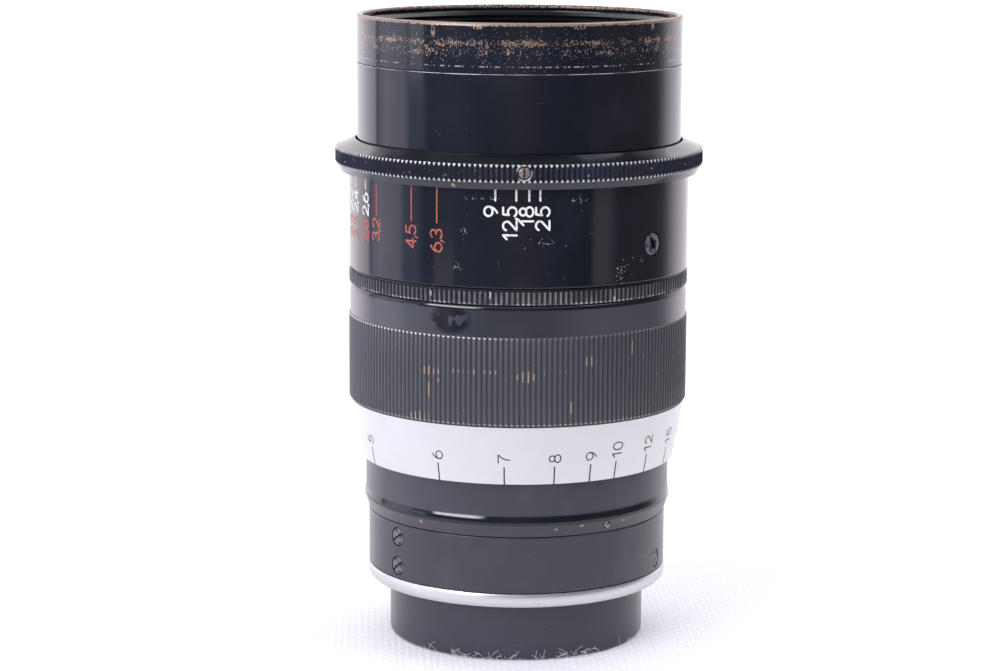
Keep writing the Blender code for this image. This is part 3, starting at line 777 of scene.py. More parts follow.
def focusing_ring_material(low, radius):
    graph = Graph("focusing_ring_lacquer")
    azimuth = graph.azimuth()
    crest = graph.step(graph.radius(), radius - 0.13, radius - 0.02)
    top = graph.step(graph.radius(), radius - 0.04, radius - 0.006)
    knurled = graph.step(graph.z, 52.3, 52.2)
    cloud = graph.noise(0.1, 4.0, seed=3.0)
    # The knurl's crests painted lighter and its grooves darker: painted light and shade.
    lit_crest_shaded_groove = graph.mix(crest, (0.034, 0.035, 0.042), (0.061, 0.060, 0.071))
    band = graph.mix(graph.step(cloud, 0.4, 0.7), (0.027, 0.028, 0.034), (0.037, 0.038, 0.045))
    # A painted reflection: the band painted lighter to both sides of the front and darker at the
    # front.
    painted_side_reflection = graph.greatest(graph.step(azimuth, 4.0, 26.0), graph.step(azimuth, -14.0, -26.0) * 0.9)
    band = graph.mix(painted_side_reflection * 0.6, band, (0.066, 0.064, 0.073))
    ragged = graph.step(graph.noise(0.5, 5.0, seed=4.0), 0.36, 0.41)
    clear = graph.spot(-22.4, 54.8, 8.0, 2.8) * ragged
    clear = graph.greatest(clear, graph.step(graph.z, 56.35, 56.5))
    band = graph.mix(clear, band, GLOSS)
    base = graph.mix(knurled, band, lit_crest_shaded_groove)

    # every tooth has lost its lacquer over a length of its own
    tooth = graph.noise(0.95, 2.0, (1.0, 1.0, 0.05), 5.0) * 1.5
    patches = [graph.spot(*row) * much for *row, much in FOCUS_WEAR]
    rubbed = graph.step(graph.greatest(*patches) + tooth, 1.27, 1.47)
    specks = graph.step(graph.noise(1.9, 3.0, (1.0, 1.0, 0.6), 2.5), 0.70, 0.73)
    brass = graph.greatest(rubbed, specks) * top

    # Painted glints at the ends of the teeth: pale at their feet, and nearly white at their crowns,
    # brightest on the left, towards the lamp.
    some = graph.step(graph.noise(0.35, 2.0, seed=8.8), 0.3, 0.5)
    foot = graph.near(low + 0.27, 0.22) * graph.range(some, 0.25, 1.0)
    crown = graph.near(52.12, 0.22) * graph.range(graph.step(azimuth, 6.0, -16.0), 0.25, 1.0)
    ends = graph.greatest(foot, crown) * crest
    worn = graph.greatest(brass, ends) * knurled
    metal = graph.mix(ends, (0.40, 0.265, 0.165), graph.mix(crown, (0.6, 0.52, 0.46), WHITE_METAL))
    graph.bump(graph.noise(3.0, 3.0, seed=1.0), 0.1, 0.03)
    rough = graph.blend(knurled, graph.blend(clear, graph.range(cloud, 0.2, 0.28), 0.06), 0.42)
    return graph.finish(graph.mix(worn, base, metal), rough, worn * 0.3)


def make_focusing_ring():
    low, high, radius = span("focusing_ring")
    band = radius - 0.2
    edge = high + 0.2  # the band runs up to the foot of the lock ring
    knurl = {**FOCUS_KNURL, "low": low, "high": 52.34}
    points = [
        (25.0, edge), (band - 0.3, edge, 0.03), (band - 0.2, edge - 0.06),
        (band - 0.1, edge - 0.28), (band - 0.03, edge - 0.52), (band, edge - 0.75),
        (band, edge - 0.85), (band, 52.36, 0.02), (radius - 0.2, 52.34), (radius - 0.1, 52.26),
        (radius, 52.15), (radius, 47.5), (radius, 43.0), (radius, low + 0.35),
        (radius - 0.1, low + 0.2), (radius - 0.2, low + 0.06), (radius - 0.32, low - 0.001),
        (25.0, low - 0.001),
    ]
    piece = turn_piece("focusing_ring_finish", points, knurl)
    settle(piece, "focus_head", focusing_ring_material(low, radius), ["focusing_ring"])


def cone_radius(z):
    """The outer radius of the distance scale's cone at a height."""
    low, high, radius = span("distance_scale_ring")
    return CONE_FOOT + (radius - CONE_FOOT) * (z - low) / (high - low)


def make_scale_ring():
    low, high, radius = span("distance_scale_ring")
    points = [(radius, high, 0.04), (CONE_FOOT, low, 0.05), (24.65, low), (24.65, high)]
    piece = turn_piece("distance_scale_finish", points)
    material = chrome("scale_chrome", (0.75, 0.745, 0.745), 0.4)
    settle(piece, "focus_head", material, ["distance_scale_ring"])


# Chips of bare brass along the bead: azimuth, height, half width, half height
BEAD_CHIPS = (
    (24.4, 22.1, 1.1, 0.25), (14.6, 21.8, 1.0, 0.2), (-37.6, 21.9, 0.9, 0.35),
    (43.0, 22.0, 1.6, 0.2),
)


def make_sliding_barrel():
    low, high, radius = span("sliding_barrel")
    barrel = BARREL_RADIUS
    points = [
        (24.3, high, 0.1), (24.3, 36.4), (23.5, 36.4), (23.5, 32.6), (barrel, 32.6, 0.05),
        (barrel, 24.25), (barrel, 24.15), (barrel + 0.02, 24.0), (barrel + 0.08, 23.8),
        (barrel + 0.16, 23.6), (barrel + 0.215, 23.4), (radius - 0.015, 23.1), (radius, 22.8),
        (radius - 0.02, 22.55), (radius - 0.12, 22.42), (23.98, 20.8, 0.05), (23.9, low),
        (21.6, low), (21.6, high),
    ]
    piece = turn_piece("sliding_barrel_finish", points)
    drilled(piece, [(*SET_SCREW, 0.62, 23.4, 26.0)])

    def specks(graph):
        grain = graph.step(graph.noise(1.1, 3.0, (1.0, 1.0, 1.4), 2.7), 0.71, 0.75)
        return grain * graph.within(low + 0.2, 22.3, 0.2)

    def chips(graph):
        """The larger chips along the bead."""
        patches = graph.greatest(*(graph.spot(*row) for row in BEAD_CHIPS))
        return patches * graph.step(graph.noise(2.0, 3.0, seed=3.0), 0.38, 0.5)

    def bead(graph):
        return graph.within(22.5, 23.9, 0.08)

    colour = (0.038, 0.036, 0.047)
    wear = [specks, chips]
    material = lacquer("sliding_barrel_lacquer", colour, 0.25, wear, BRASS, 0.4, bead, 0.05)
    cut_slot(piece, KEY_AZIMUTH, 3.2, (19.95, 23.05), (17.0, 41.0))
    settle(piece, "barrel", material, ["sliding_barrel"])


def make_collar():
    low, high, radius = span("mount_collar")
    points = [(22.9, high), (radius, high, 0.16), (radius, low, 0.1), (22.9, low)]
    piece = turn_piece("mount_collar_finish", points)
    drilled(piece, [(azimuth, z, 1.52, 22.95, 26.0) for azimuth, z in COLLAR_SCREWS])
    wear = [lambda graph: speckle(graph, low, high, 0.3, 31.0)]
    material = lacquer("collar_lacquer", (0.032, 0.029, 0.039), 0.22, wear, BRASS, turning=0.06)
    settle(piece, "mount", material, ["mount_collar"])


def make_helicoid_tube():
    """The brass tube that shows between the collar and the barrel at the near distances."""
    low, high, radius = span("fixed_helicoid")
    points = [(radius, high, 0.15)]
    root = radius - 0.15
    for z in (31.4, 27.4, 23.4):
        points += [(radius, z + 0.3), (root, z + 0.15), (root, z - 0.15), (radius, z - 0.3)]
    points += [(radius, low, 0.1), (19.9, low), (19.9, high, 0.1)]
    piece = turn_piece("helicoid_tube_finish", points)
    material = oiled_brass()
    settle(piece, "mount", material, ["fixed_helicoid"])
    make_cam_sleeve(material)


def make_cam_sleeve(material):
    """The brass sleeve behind the mount that pushes the camera's rangefinder lever."""
    low, high, radius = span("rangefinder_cam")
    bore = 16.2
    points = [(radius, high), (radius, low, 0.25), (bore, low, 0.25), (bore, high)]
    piece = turn_piece("cam_sleeve_finish", points)
    azimuth, z = CAM_SCREW
    cut_slot(piece, azimuth, 2.0, (15.0, 19.0), (z - CAM_TRAVEL - 1.1, z + 1.1))
    settle(piece, "cam", material, ["rangefinder_cam"])


def make_flange():
    low, high, radius = span("flange_mount")
    seat, rim, tube = 9.26, 11.46, 19.4
    thread = []
    crest = seat - 0.7
    while crest > low + MOUNT_PITCH:
        thread += [(tube, crest), (tube - MOUNT_DEPTH, crest - MOUNT_PITCH / 2)]
        crest -= MOUNT_PITCH
    points = [
        (22.6, high), (22.6, rim), (radius - 0.12, rim), (radius, 11.1), (radius, 10.2),
        (radius - 0.16, 9.6), (radius - 0.5, seat, 0.1), (21.0, seat), (21.0, seat + 0.3),
        (tube, seat + 0.3), *thread, (tube, crest), (tube, low, 0.2), (18.2, low, 0.2),
        (18.2, rim), (21.5, rim), (21.5, high),
    ]
    piece = turn_piece("flange_finish", points)
    drilled(piece, [(*CAM_SCREW, 0.95, 22.7, 26.0)])
    metal = chrome("flange_chrome", (0.67, 0.67, 0.68), 0.31, 0.9)
    settle(piece, "mount", metal, ["flange_mount"])


def make_rear_cap():
    low, high, radius = span("rear_cap")
    bore = 19.75
    floor = low + 1.2
    points = [
        (radius, high, 0.15), (radius, low, 0.5), (18.6, low, 0.15), (18.2, low + 0.35, 0.15),
        (0.0, low + 0.35), (0.0, floor), (bore, floor, 0.3), (bore, high, 0.15),
    ]
    piece = add_piece("rear_cap_finish", lens_mesh("rear_cap_finish", points))
    settle(piece, "cap", cap_material(), ["rear_cap"])


# ---------------------------------------------------------------- screws


def make_screw(node, body, place, sizes, slot_angle, material):
    """A slotted screw head with a rounded edge. sizes gives the head's radius, the
    height of its crown and foot from the axis, and its shank's radius and tip."""
    radius, crown, foot, shank, tip = sizes
    azimuth, z = place
    points = [
        (0.0, crown), (radius * 0.5, crown - 0.02), (radius, crown - 0.1, 0.14), (radius, foot),
        (shank, foot), (shank, tip), (0.0, tip),
    ]
    shape = bmesh.new()
    ring = [shape.verts.new((r * MM, 0.0, h * MM)) for r, h in softened(points)]
    profile = ring + [shape.edges.new(pair) for pair in zip(ring, ring[1:])]
    sweep = {"cent": (0, 0, 0), "axis": (0, 0, 1), "angle": math.tau, "steps": 36}
    bmesh.ops.spin(shape, geom=profile, use_merge=True, **sweep)
    bmesh.ops.remove_doubles(shape, verts=shape.verts, dist=0.000001)
    bmesh.ops.recalc_face_normals(shape, faces=shape.faces)
    piece = add_piece(f"{node}_finish", mesh_from(f"{node}_finish", shape))
    shape = bmesh.new()
    turn = Matrix.Rotation(math.radians(slot_angle), 4, "Z")
    place = turn @ Matrix.Translation((0, 0, crown * MM))
    add_box(shape, place, (4 * radius, 2 * (0.09 + 0.03 * radius), 0.6 * radius))
    cut_away(piece, shape)
    piece.matrix_world = outward(azimuth, z)
    settle(piece, body, material, [node])


def screw_material(name, colour, dark, crown, slot_depth, grime=0.38, crud=0.0):
    """Old screw metal: blackening in patches and, as crud, in the middle, and painted shade deep in
    the slot.
    """
    graph = Graph(name)
    patch = graph.step(graph.noise(1.1, 4.0, seed=dark * 7), grime + 0.16, grime + 0.04)
    middle = graph.radius() + graph.noise(1.2, 4.0, seed=3.6) * 2.4
    black = graph.step(middle, crud + 1.2, crud + 1.0) * (1.0 if crud else 0.0)
    # Painted shade: the floor of the slot painted near black and not metallic.
    painted_slot_shade = graph.step(graph.z, crown - slot_depth * 0.75, crown - slot_depth)
    tone = graph.mix(patch, colour, scaled(colour, dark))
    tone = graph.mix(graph.greatest(black, painted_slot_shade), tone, (0.008, 0.008, 0.009))
    graph.bump(graph.noise(3.0, 3.0), 0.3, 0.04)
    metallic = (1.0 - painted_slot_shade) * 0.7
    return graph.finish(tone, graph.range(patch, 0.3, 0.5), metallic)


def make_screws():
    collar = span("mount_collar")[2] + 0.03
    black = screw_material("collar_screw_metal", (0.16, 0.15, 0.155), 0.25, collar, 0.25)
    head = (1.4, collar, 23.0, 0.7, 21.7)
    nodes = ("collar_screw_1", "collar_screw_2", "collar_screw_3", "guide_key_screw")
    for node, place, slot_angle in zip(nodes, COLLAR_SCREWS, (38, 62, 20, 34)):
        make_screw(node, "mount", place, head, slot_angle, black)
    body = span("body_barrel")[2] + 0.03
    grey = screw_material("body_screw_metal", (0.23, 0.23, 0.255), 0.35, body, 0.25, 0.34, 0.95)
    make_screw("body_screw", "focus_head", BODY_SCREW, (1.7, body, 26.2, 0.7, 25.0), -60, grey)
    ring = span("aperture_ring")[2] - 0.1
    pink = screw_material("ring_screw_metal", (0.44, 0.34, 0.31), 0.6, ring, 0.18)
    head = (0.85, ring, 28.4, 0.55, 24.1)
    make_screw("aperture_ring_screw", "aperture", RING_SCREW, head, 89, pink)
    brass = screw_material("set_screw_metal", (0.58, 0.47, 0.40), 0.5, 24.5, 0.12)
    head = (0.55, 24.5, 23.9, 0.4, 23.1)
    make_screw("barrel_set_screw", "barrel", SET_SCREW, head, 48, brass)
    head = (0.8, span("flange_mount")[2] - 0.02, 22.9, 0.6, 16.9)
    make_screw("cam_guide_screw", "mount", CAM_SCREW, head, 10, black)


# ---------------------------------------------------------------- engraved scales


def arc(centre, radii, start, end, steps=16):
    """Points of an ellipse's arc, angles in degrees, counter-clockwise positive."""
    angles = [math.radians(start + (end - start) * i / steps) for i in range(steps + 1)]
    (x, y), (wide, tall) = centre, radii
    return [(x + wide * math.cos(angle), y + tall * math.sin(angle)) for angle in angles]


# Each digit is a list of strokes in a box as high as 1 and as wide as DIGIT_WIDTH
DIGIT_WIDTH = 0.62
NINE_BOWL = arc((0.31, 0.69), (0.31, 0.31), 0, 360, 26)
DIGITS = {
    "0": [arc((0.31, 0.5), (0.31, 0.5), 0, 360, 30)],
    "1": [[(0.0, 0.72), (0.26, 1.0), (0.26, 0.0)]],
    "2": [arc((0.31, 0.71), (0.29, 0.29), 165, -38, 18) + [(0.02, 0.0), (0.62, 0.0)]],
    "3": [
        arc((0.3, 0.75), (0.27, 0.25), 150, -90, 16),
        arc((0.3, 0.26), (0.31, 0.26), 90, -150, 18),
    ],
    "4": [[(0.46, 0.0), (0.46, 1.0), (0.0, 0.28), (0.64, 0.28)]],
    "5": [[(0.58, 1.0), (0.14, 1.0), (0.09, 0.55)] + arc((0.3, 0.32), (0.31, 0.32), 128, -150, 20)],
    "6": [arc((0.31, 0.31), (0.31, 0.31), 0, 360, 26), arc((0.62, 0.31), (0.62, 0.7), 180, 112, 12)],
    "7": [[(0.0, 1.0), (0.62, 1.0)], arc((0.84, 0.0), (0.6, 1.0), 112, 180, 12)],
    "8": [arc((0.31, 0.76), (0.24, 0.24), 0, 360, 24), arc((0.31, 0.27), (0.31, 0.27), 0, 360, 26)],
    "9": [NINE_BOWL, arc((0.0, 0.69), (0.62, 0.7), 0, -68, 12)],
    ",": [[(-0.12, 0.06), (-0.2, -0.16)]],
}
DIGIT_GAP = 0.3
ADVANCE = {"1": 0.57, ",": 0.02}
SPREAD = 1.12  # the numerals are engraved this much wider than drawn here
SHARP_CORNER = math.radians(35)
LONGEST_STEP = 0.35


def text_strokes(text, height):
    """Strokes of a number, in millimetres along and up, and its length."""
    strokes = []
    along = 0.0
    for letter in text:
        for stroke in DIGITS[letter]:
            strokes.append([((along + x) * height * SPREAD, y * height) for x, y in stroke])
        along += ADVANCE.get(letter, DIGIT_WIDTH + DIGIT_GAP)
    return strokes, (along - DIGIT_GAP) * height * SPREAD


def runs(stroke):
    """The stroke cut apart at its sharp corners, with points close enough to bend round."""
    points = [Vector(point) for point in stroke]
    run = [points[0]]
    for i in range(1, len(points)):
        way = points[i] - points[i - 1]
        count = max(1, math.ceil(way.length / LONGEST_STEP))
        run += [points[i - 1].lerp(points[i], step / count) for step in range(1, count + 1)]
        if i + 1 < len(points) and way.angle(points[i + 1] - points[i], 0.0) > SHARP_CORNER:
            yield run
            run = [points[i]]
    yield run


def ribbon(shape, points, width, place):
    """A flat stroke with round ends. place turns (along, up) into a point in metres."""
    closed = (points[0] - points[-1]).length < 1e-6
    left, right = [], []
    last = len(points) - 1
    for i, point in enumerate(points):
        before = points[i - 1] if i else (points[-2] if closed else point)
        after = points[i + 1] if i < last else (points[1] if closed else point)
        way = (after - before).normalized()
        side = Vector((-way.y, way.x)) * width / 2
        left.append(shape.verts.new(place(point + side)))
        right.append(shape.verts.new(place(point - side)))
    for i in range(last):
        shape.faces.new((left[i], right[i], right[i + 1], left[i + 1]))
    if closed:
        return
    far_end = (points[-1], points[-2], left[-1], right[-1])
    near_end = (points[0], points[1], right[0], left[0])
    for centre, inner, first, final in (far_end, near_end):
        heading = (centre - inner).normalized()
        side = Vector((-heading.y, heading.x))
        cap = []
        for step in range(1, 6):
            angle = math.pi * step / 6
            offset = side * math.cos(angle) + heading * math.sin(angle)
            cap.append(shape.verts.new(place(centre + offset * width / 2)))
        shape.faces.new((first, *cap, final))


def stroke_mesh(name, jobs):
    """A mesh of ribbons: each job is a stroke, its width and the function that places it."""
    shape = bmesh.new()
    for stroke, width, place in jobs:
        for run in runs(stroke):
            ribbon(shape, run, width, place)
    bmesh.ops.recalc_face_normals(shape, faces=shape.faces)
    mesh = mesh_from(name, shape)
    face_outwards(mesh)
    return mesh


def face_outwards(mesh):
    """Turn every face so that its front looks away from the optical axis."""
    for face in mesh.polygons:
        if face.normal.x * face.center.x + face.normal.y * face.center.y < 0:
            face.flip()


def settle_strokes(name, jobs, body, material):
    settle(add_piece(name, stroke_mesh(name, jobs)), body, material)


def wrap(radius_at, azimuth, z):
    """Places upright strokes: the first number reads up the barrel, its top to the left."""

    def place(point):
        height = z + point[0]
        radius = radius_at(height) + LIFT
        return on_cylinder(radius, azimuth - math.degrees(point[1] / radius), height)

    return place


def number_jobs(text, size, width, radius_at, azimuth, end, shift=0.0):
    """Jobs for a number that ends at height end, centred on its azimuth."""
    strokes, length = text_strokes(text, size)
    place = wrap(radius_at, azimuth, end - length)
    moved = [[(x, y - size / 2 - shift) for x, y in stroke] for stroke in strokes]
    return [(stroke, width, place) for stroke in moved]


def tick_job(radius_at, azimuth, low, high, width):
    return [([(0.0, 0.0), (high - low, 0.0)], width, wrap(radius_at, azimuth, low))]


def make_aperture_scale():
    high, radius = span("body_barrel")[1:]

    def at(_height):
        return radius

    white, red = [], []
    for text, azimuth in WHITE_MARKS.items():
        white += tick_job(at, azimuth, high - 1.62, high + 0.02, 0.3)
        shift = WHITE_SHIFT[text]
        white += number_jobs(text, NUMBER_HEIGHT, NUMBER_STROKE, at, azimuth, high - 2.58, shift)
    for text, azimuth in RED_MARKS.items():
        red += tick_job(at, azimuth, high - 5.4, high + 0.02, 0.22)
        red += number_jobs(text, RED_HEIGHT, RED_STROKE, at, azimuth, high - RED_DROP[text], -0.1)
    for upper, lower, azimuth in DOUBLE_MARKS:
        white += tick_job(at, azimuth, high - 1.7, high + 0.02, 0.24)
        white += number_jobs(upper, RED_HEIGHT, RED_STROKE, at, azimuth, high - 2.35)
        red += number_jobs(lower, RED_HEIGHT, RED_STROKE, at, azimuth, high - 6.5)
    chalk = paint("white_paint", (0.86, 0.84, 0.80), (0.3, 0.28, 0.24), 0.2)
    settle_strokes("aperture_scale_white", white, "focus_head", chalk)
    rust = paint("red_paint", (0.50, 0.095, 0.055), (0.22, 0.06, 0.05), 0.45)
    settle_strokes("aperture_scale_red", red, "focus_head", rust)


def mark_azimuth(painted_tooth_glints):
    """Where a distance stands on the scale, from the lens formula and the lead."""
    distance = painted_tooth_glints * FOOT
    travel = 0.0
    for _ in range(30):
        travel = FOCAL_LENGTH**2 / (distance - 2 * FOCAL_LENGTH - travel)
    return INFINITY_AZIMUTH - 360.0 * travel / LEAD


def make_distance_scale():
    low = span("distance_scale_ring")[0]
    jobs = []
    for text in DISTANCE_MARKS:
        azimuth = mark_azimuth(float(text))
        jobs += tick_job(cone_radius, azimuth, low + 0.06, low + TICK_LENGTH, TICK_WIDTH)
        length = text_strokes(text, DISTANCE_HEIGHT)[1]
        end = low + TICK_LENGTH + 0.75 + length
        jobs += number_jobs(text, DISTANCE_HEIGHT, DISTANCE_STROKE, cone_radius, azimuth, end)
    jobs += infinity_jobs(low)
    black = paint("engraving_black", (0.012, 0.012, 0.013), (0.1, 0.1, 0.1), 0.1)
    settle_strokes("distance_scale_numbers", jobs, "focus_head", black)
    index = tick_job(lambda height: BARREL_RADIUS, INFINITY_AZIMUTH, low - 4.55, low - 0.15, 0.3)
    white = paint("index_white", (0.75, 0.73, 0.7), (0.25, 0.24, 0.22), 0.2)
    settle_strokes("distance_index_line", index, "barrel", white)


def infinity_jobs(low):
    """The infinity sign and its tick."""
    jobs = tick_job(cone_radius, INFINITY_AZIMUTH, low + 0.06, low + TICK_LENGTH, TICK_WIDTH)
    place = wrap(cone_radius, INFINITY_AZIMUTH, low + TICK_LENGTH + 0.6)
    for centre in (0.6, 1.8):
        jobs.append((arc((centre, 0.0), (0.6, 0.6), 0, 360, 26), DISTANCE_STROKE, place))
    return jobs


def make_index_dot():
    low = span("aperture_ring")[0]
    shape = bmesh.new()
    place = outward(INDEX_AZIMUTH, low + 0.52) @ Matrix.Translation((0, 0, 28.56 * MM))
    tilt = Matrix.Rotation(math.radians(DOT_TILT), 4, "X")
    flat = Matrix.Diagonal((1.15, 1, 0.3, 1))
    sizes = {"u_segments": 20, "v_segments": 10, "radius": 0.36 * MM}
    bmesh.ops.create_uvsphere(shape, matrix=place @ tilt @ flat, **sizes)
    mesh = mesh_from("aperture_index_dot", shape)
    mesh.shade_smooth()
    yellow = paint("index_yellow", (0.42, 0.36, 0.2), (0.12, 0.1, 0.07), 0.5)
    settle(add_piece("aperture_index_dot", mesh), "aperture", yellow)


# ---------------------------------------------------------------- scratches


def hairline(draw, longest, shortest):
    """A short curved stroke at a random heading, centred on nothing."""
    heading = draw.uniform(0, math.pi)
    length = longest * draw.random() ** 2 + shortest
    bend = draw.uniform(-0.5, 0.5)
    stroke = []
    for i in range(5):
        t = i / 4 - 0.5
        along = length * (t * math.cos(heading) - bend * t * t * math.sin(heading))
        up = length * (t * math.sin(heading) + bend * t * t * math.cos(heading))
        stroke.append((along, up))
    return stroke


def scratch_jobs(draw, count, low, high, radius, longest):
    """Hairlines at random places of a barrel."""
    jobs = []
    for _ in range(count):
        azimuth = draw.uniform(-180, 180)
        z = draw.uniform(low, high)
        stroke = hairline(draw, longest, 0.25)
        heights = [point[0] + z for point in stroke]
        if low < min(heights) and max(heights) < high:
            place = wrap(lambda height: radius, azimuth, z)
            jobs.append((stroke, draw.uniform(0.018, 0.045), place))
    return jobs


# Where the body barrel is nicked: azimuth, height, spreads of both, how many
NICKED = (
    (-12.0, 73.5, 8.0, 0.25, 12), (20.0, 73.0, 5.0, 0.9, 14), (-17.5, 68.2, 1.8, 0.9, 8),
    (9.0, 66.6, 6.0, 1.0, 14), (-20.0, 63.1, 1.6, 0.7, 9), (35.6, 61.6, 2.2, 1.5, 26),
    (43.5, 63.0, 3.0, 0.6, 4), (-150.0, 68.0, 8.0, 2.0, 16), (110.0, 64.0, 6.0, 2.0, 12),
)

NICK_SPREAD = 0.55


def nick_jobs(draw, radius):
    """Clusters of small nicks."""
    jobs = []
    for azimuth, z, turn, rise, count in NICKED:
        for _ in range(count):
            towards = azimuth + turn * draw.gauss(0, NICK_SPREAD)
            place = wrap(lambda height: radius, towards, z + rise * draw.gauss(0, NICK_SPREAD))
            jobs.append((hairline(draw, 0.45, 0.08), draw.uniform(0.04, 0.1), place))
    return jobs


def make_scratches():
    draw = random.Random(11)
    faint = paint("scratch_faint", (0.13, 0.13, 0.14), (0.03, 0.03, 0.035), 0.6)
    barrels = (
        ("front_barrel_scratches", "front_barrel", "focus_head", 46, 1.6, (80.6, 91.6)),
        ("filter_ring_scratches", "filter_ring", "focus_head", 30, 1.0, (92.3, 98.6)),
        ("body_barrel_scratches", "body_barrel", "focus_head", 70, 1.4, (60.4, 74.4)),
        ("collar_scratches", "mount_collar", "mount", 40, 1.6, (12.0, 20.0)),
    )
    for name, node, body, count, longest, (low, high) in barrels:
        radius = span(node)[2]
        jobs = scratch_jobs(draw, count, low, high, radius, longest)
        settle_strokes(name, jobs, body, faint)
    pale = paint("nick_pale", (0.36, 0.35, 0.32), (0.06, 0.06, 0.065), 0.5)
    nicks = nick_jobs(draw, span("body_barrel")[2])
    settle_strokes("body_barrel_nicks", nicks, "focus_head", pale)


# ---------------------------------------------------------------- inside


def surface(vertex, radius, rim, steps=10):
    """Points of a spherical surface from the axis to the rim; positive falls away."""
    points = []
    for i in range(steps + 1):
        r = rim * i / steps
        sag = abs(radius) - math.sqrt(radius * radius - r * r)
        points.append((r, vertex - math.copysign(sag, radius)))
    return points


# Each lens: front vertex and radius, rear vertex and radius, and how wide the two faces are
LENSES = {
    "front_element": (94.0, 56.0, 88.6, 200.0, 22.0, 22.0),
    "middle_crown_element": (88.1, 46.0, 84.5, 150.0, 19.2, 19.2),
    "middle_flint_element": (84.4, 150.0, 83.0, 48.0, 19.2, 17.0),
    "rear_element": (68.2, 60.0, 62.0, -70.0, 17.5, 17.5),
}


def make_lenses():
    material = glass("optical_glass", (0.97, 0.985, 1.0))
    for node, (front, front_r, rear, rear_r, edge, rim) in LENSES.items():
        points = surface(front, front_r, edge)
        back = surface(rear, rear_r, rim)
        if edge > rim:
            back.append((edge, back[-1][1]))
        mesh = lens_mesh(f"{node}_finish", points + back[::-1])
        settle(add_piece(f"{node}_finish", mesh), "focus_head", material, [node])


def make_front_cell():
    """The black cell round the front element and its slotted retaining ring."""
    low, high, radius = span("front_cell")
    material = inner_paint("cell_paint")
    cell = [(radius, high), (radius, low), (20.9, low)]
    cell += [(20.9, 86.9), (22.3, 86.9), (22.3, high, 0.1)]
    piece = turn_piece("front_cell_finish", cell)
    settle(piece, "focus_head", material, ["front_cell"])
    low, high, radius = span("front_retaining_ring")
    ring = [(22.05, high, 0.1), (22.05, low), (20.9, low), (20.9, low + 0.3), (21.3, high, 0.1)]
    piece = turn_piece("front_retaining_finish", ring)
    shape = bmesh.new()
    for turn in (20, 200):
        place = Matrix.Rotation(math.radians(turn), 4, "Z")
        add_box(shape, place @ Matrix.Translation((21.5 * MM, 0, high * MM)), (4.0, 1.2, 1.0))
    cut_away(piece, shape)
    settle(piece, "focus_head", material, ["front_retaining_ring"])


def dress_inner_nodes():
    """Materials for the CAD solids that stay as they are."""
    black = inner_paint("inside_paint")
    brass = plain_metal("turned_brass", (0.6, 0.42, 0.2), 0.3)
    blade = plain_metal("blade_steel_blued", (0.09, 0.09, 0.10), 0.34, 0.5)
    inside = dict.fromkeys(("inner_helicoid", "guide_key", "barrel_retaining_ring"), brass)
    for name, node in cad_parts.items():
        material = blade if name.startswith("iris_blade") else inside.get(name, black)
        node.data.materials.clear()
        node.data.materials.append(material)


# ---------------------------------------------------------------- studio
TWILL = ((0.93, 0.055), (0.51, -0.41))  # ridges of the cloth per millimetre, across and along
MIRRORED_RADIUS = 0.15
FLOOR_REACH = 4.0
LINT_COUNT = 210


def cloth_material():
    """A white cotton twill, painted darker near the lens and lighter away from it: painted shade
    round the lens, as light falls in a light tent.
    """
    graph = Graph("white_cloth")
    weave = []
    for across, along in TWILL:
        turn = graph.x * across + graph.y * along
        weave.append(graph.math("SINE", turn * (math.tau / MM)))
    threads = graph.range(weave[0] + weave[1], 0.25, 0.5)
    fuzz = graph.noise(1.6, 4.0)
    graph.bump(threads * 1.2 + fuzz, 0.5, 0.16)
    near = graph.mix(threads + fuzz * 0.9, (0.68, 0.68, 0.685), (0.93, 0.93, 0.94))
    # Painted shade: the cloth painted darker within about 60 mm of the axis, lighter beyond 240 mm.
    far = graph.step(graph.radius(), 60.0, 240.0)
    return graph.finish(graph.mix(far, near, (0.86, 0.865, 0.87)), 0.9, 0.0)


def make_floor():
    """The cloth under the lens. Only the disc close to the lens is mirrored in the lacquer."""
    cloth = cloth_material()
    discs = (("floor_near", 0.0, MIRRORED_RADIUS), ("floor_far", MIRRORED_RADIUS, FLOOR_REACH))
    for name, inner, outer in discs:
        shape = bmesh.new()
        bmesh.ops.create_circle(shape, cap_ends=not inner, segments=96, radius=outer)
        if inner:
            ring = list(shape.edges)
            bmesh.ops.create_circle(shape, cap_ends=False, segments=96, radius=inner)
            edges = ring + [edge for edge in shape.edges if edge not in ring]
            bmesh.ops.bridge_loops(shape, edges=edges)
        bmesh.ops.recalc_face_normals(shape, faces=shape.faces)
        mesh = mesh_from(name, shape)
        mesh.materials.append(cloth)
        floor = add_piece(name, mesh)
        floor.location.z = -0.00015
        floor.visible_glossy = not inner
    make_lint(cloth)


def make_lint(cloth):
    """Loose fibres of the cloth that stand up round the foot of the cap."""
    draw = random.Random(5)
    curve = bpy.data.curves.new("cloth_lint", "CURVE")
    curve.dimensions = "3D"
    curve.bevel_depth = 0.018 * MM
    curve.bevel_resolution = 1
    foot = span("rear_cap")[2]
    for _ in range(LINT_COUNT):
        azimuth = draw.choice((-24.0, -12.0, 8.0, 27.0, 30.0, 52.0, 150.0)) + draw.gauss(0, 9)
        height = 0.3 + 2.1 * draw.random() ** 3.2
        lean = draw.uniform(-1.1, 1.1)
        away = foot + draw.uniform(0.15, 0.7)
        line = curve.splines.new("POLY")
        line.points.add(5)
        for i, point in enumerate(line.points):
            t = i / 5
            bend = azimuth + math.degrees(lean * height * t * t / foot)
            point.co = (*on_cylinder(away + 0.3 * t, bend, height * t * (1.15 - 0.3 * t) - 0.1), 1.0)
    lint = add_piece("cloth_lint", curve)
    curve.materials.append(cloth)


WHITE = (1.0, 0.985, 1.0)
MAUVE = (1.0, 0.925, 1.03)
LILAC = (0.95, 0.92, 1.12)
NAVY = (0.72, 0.86, 1.36)
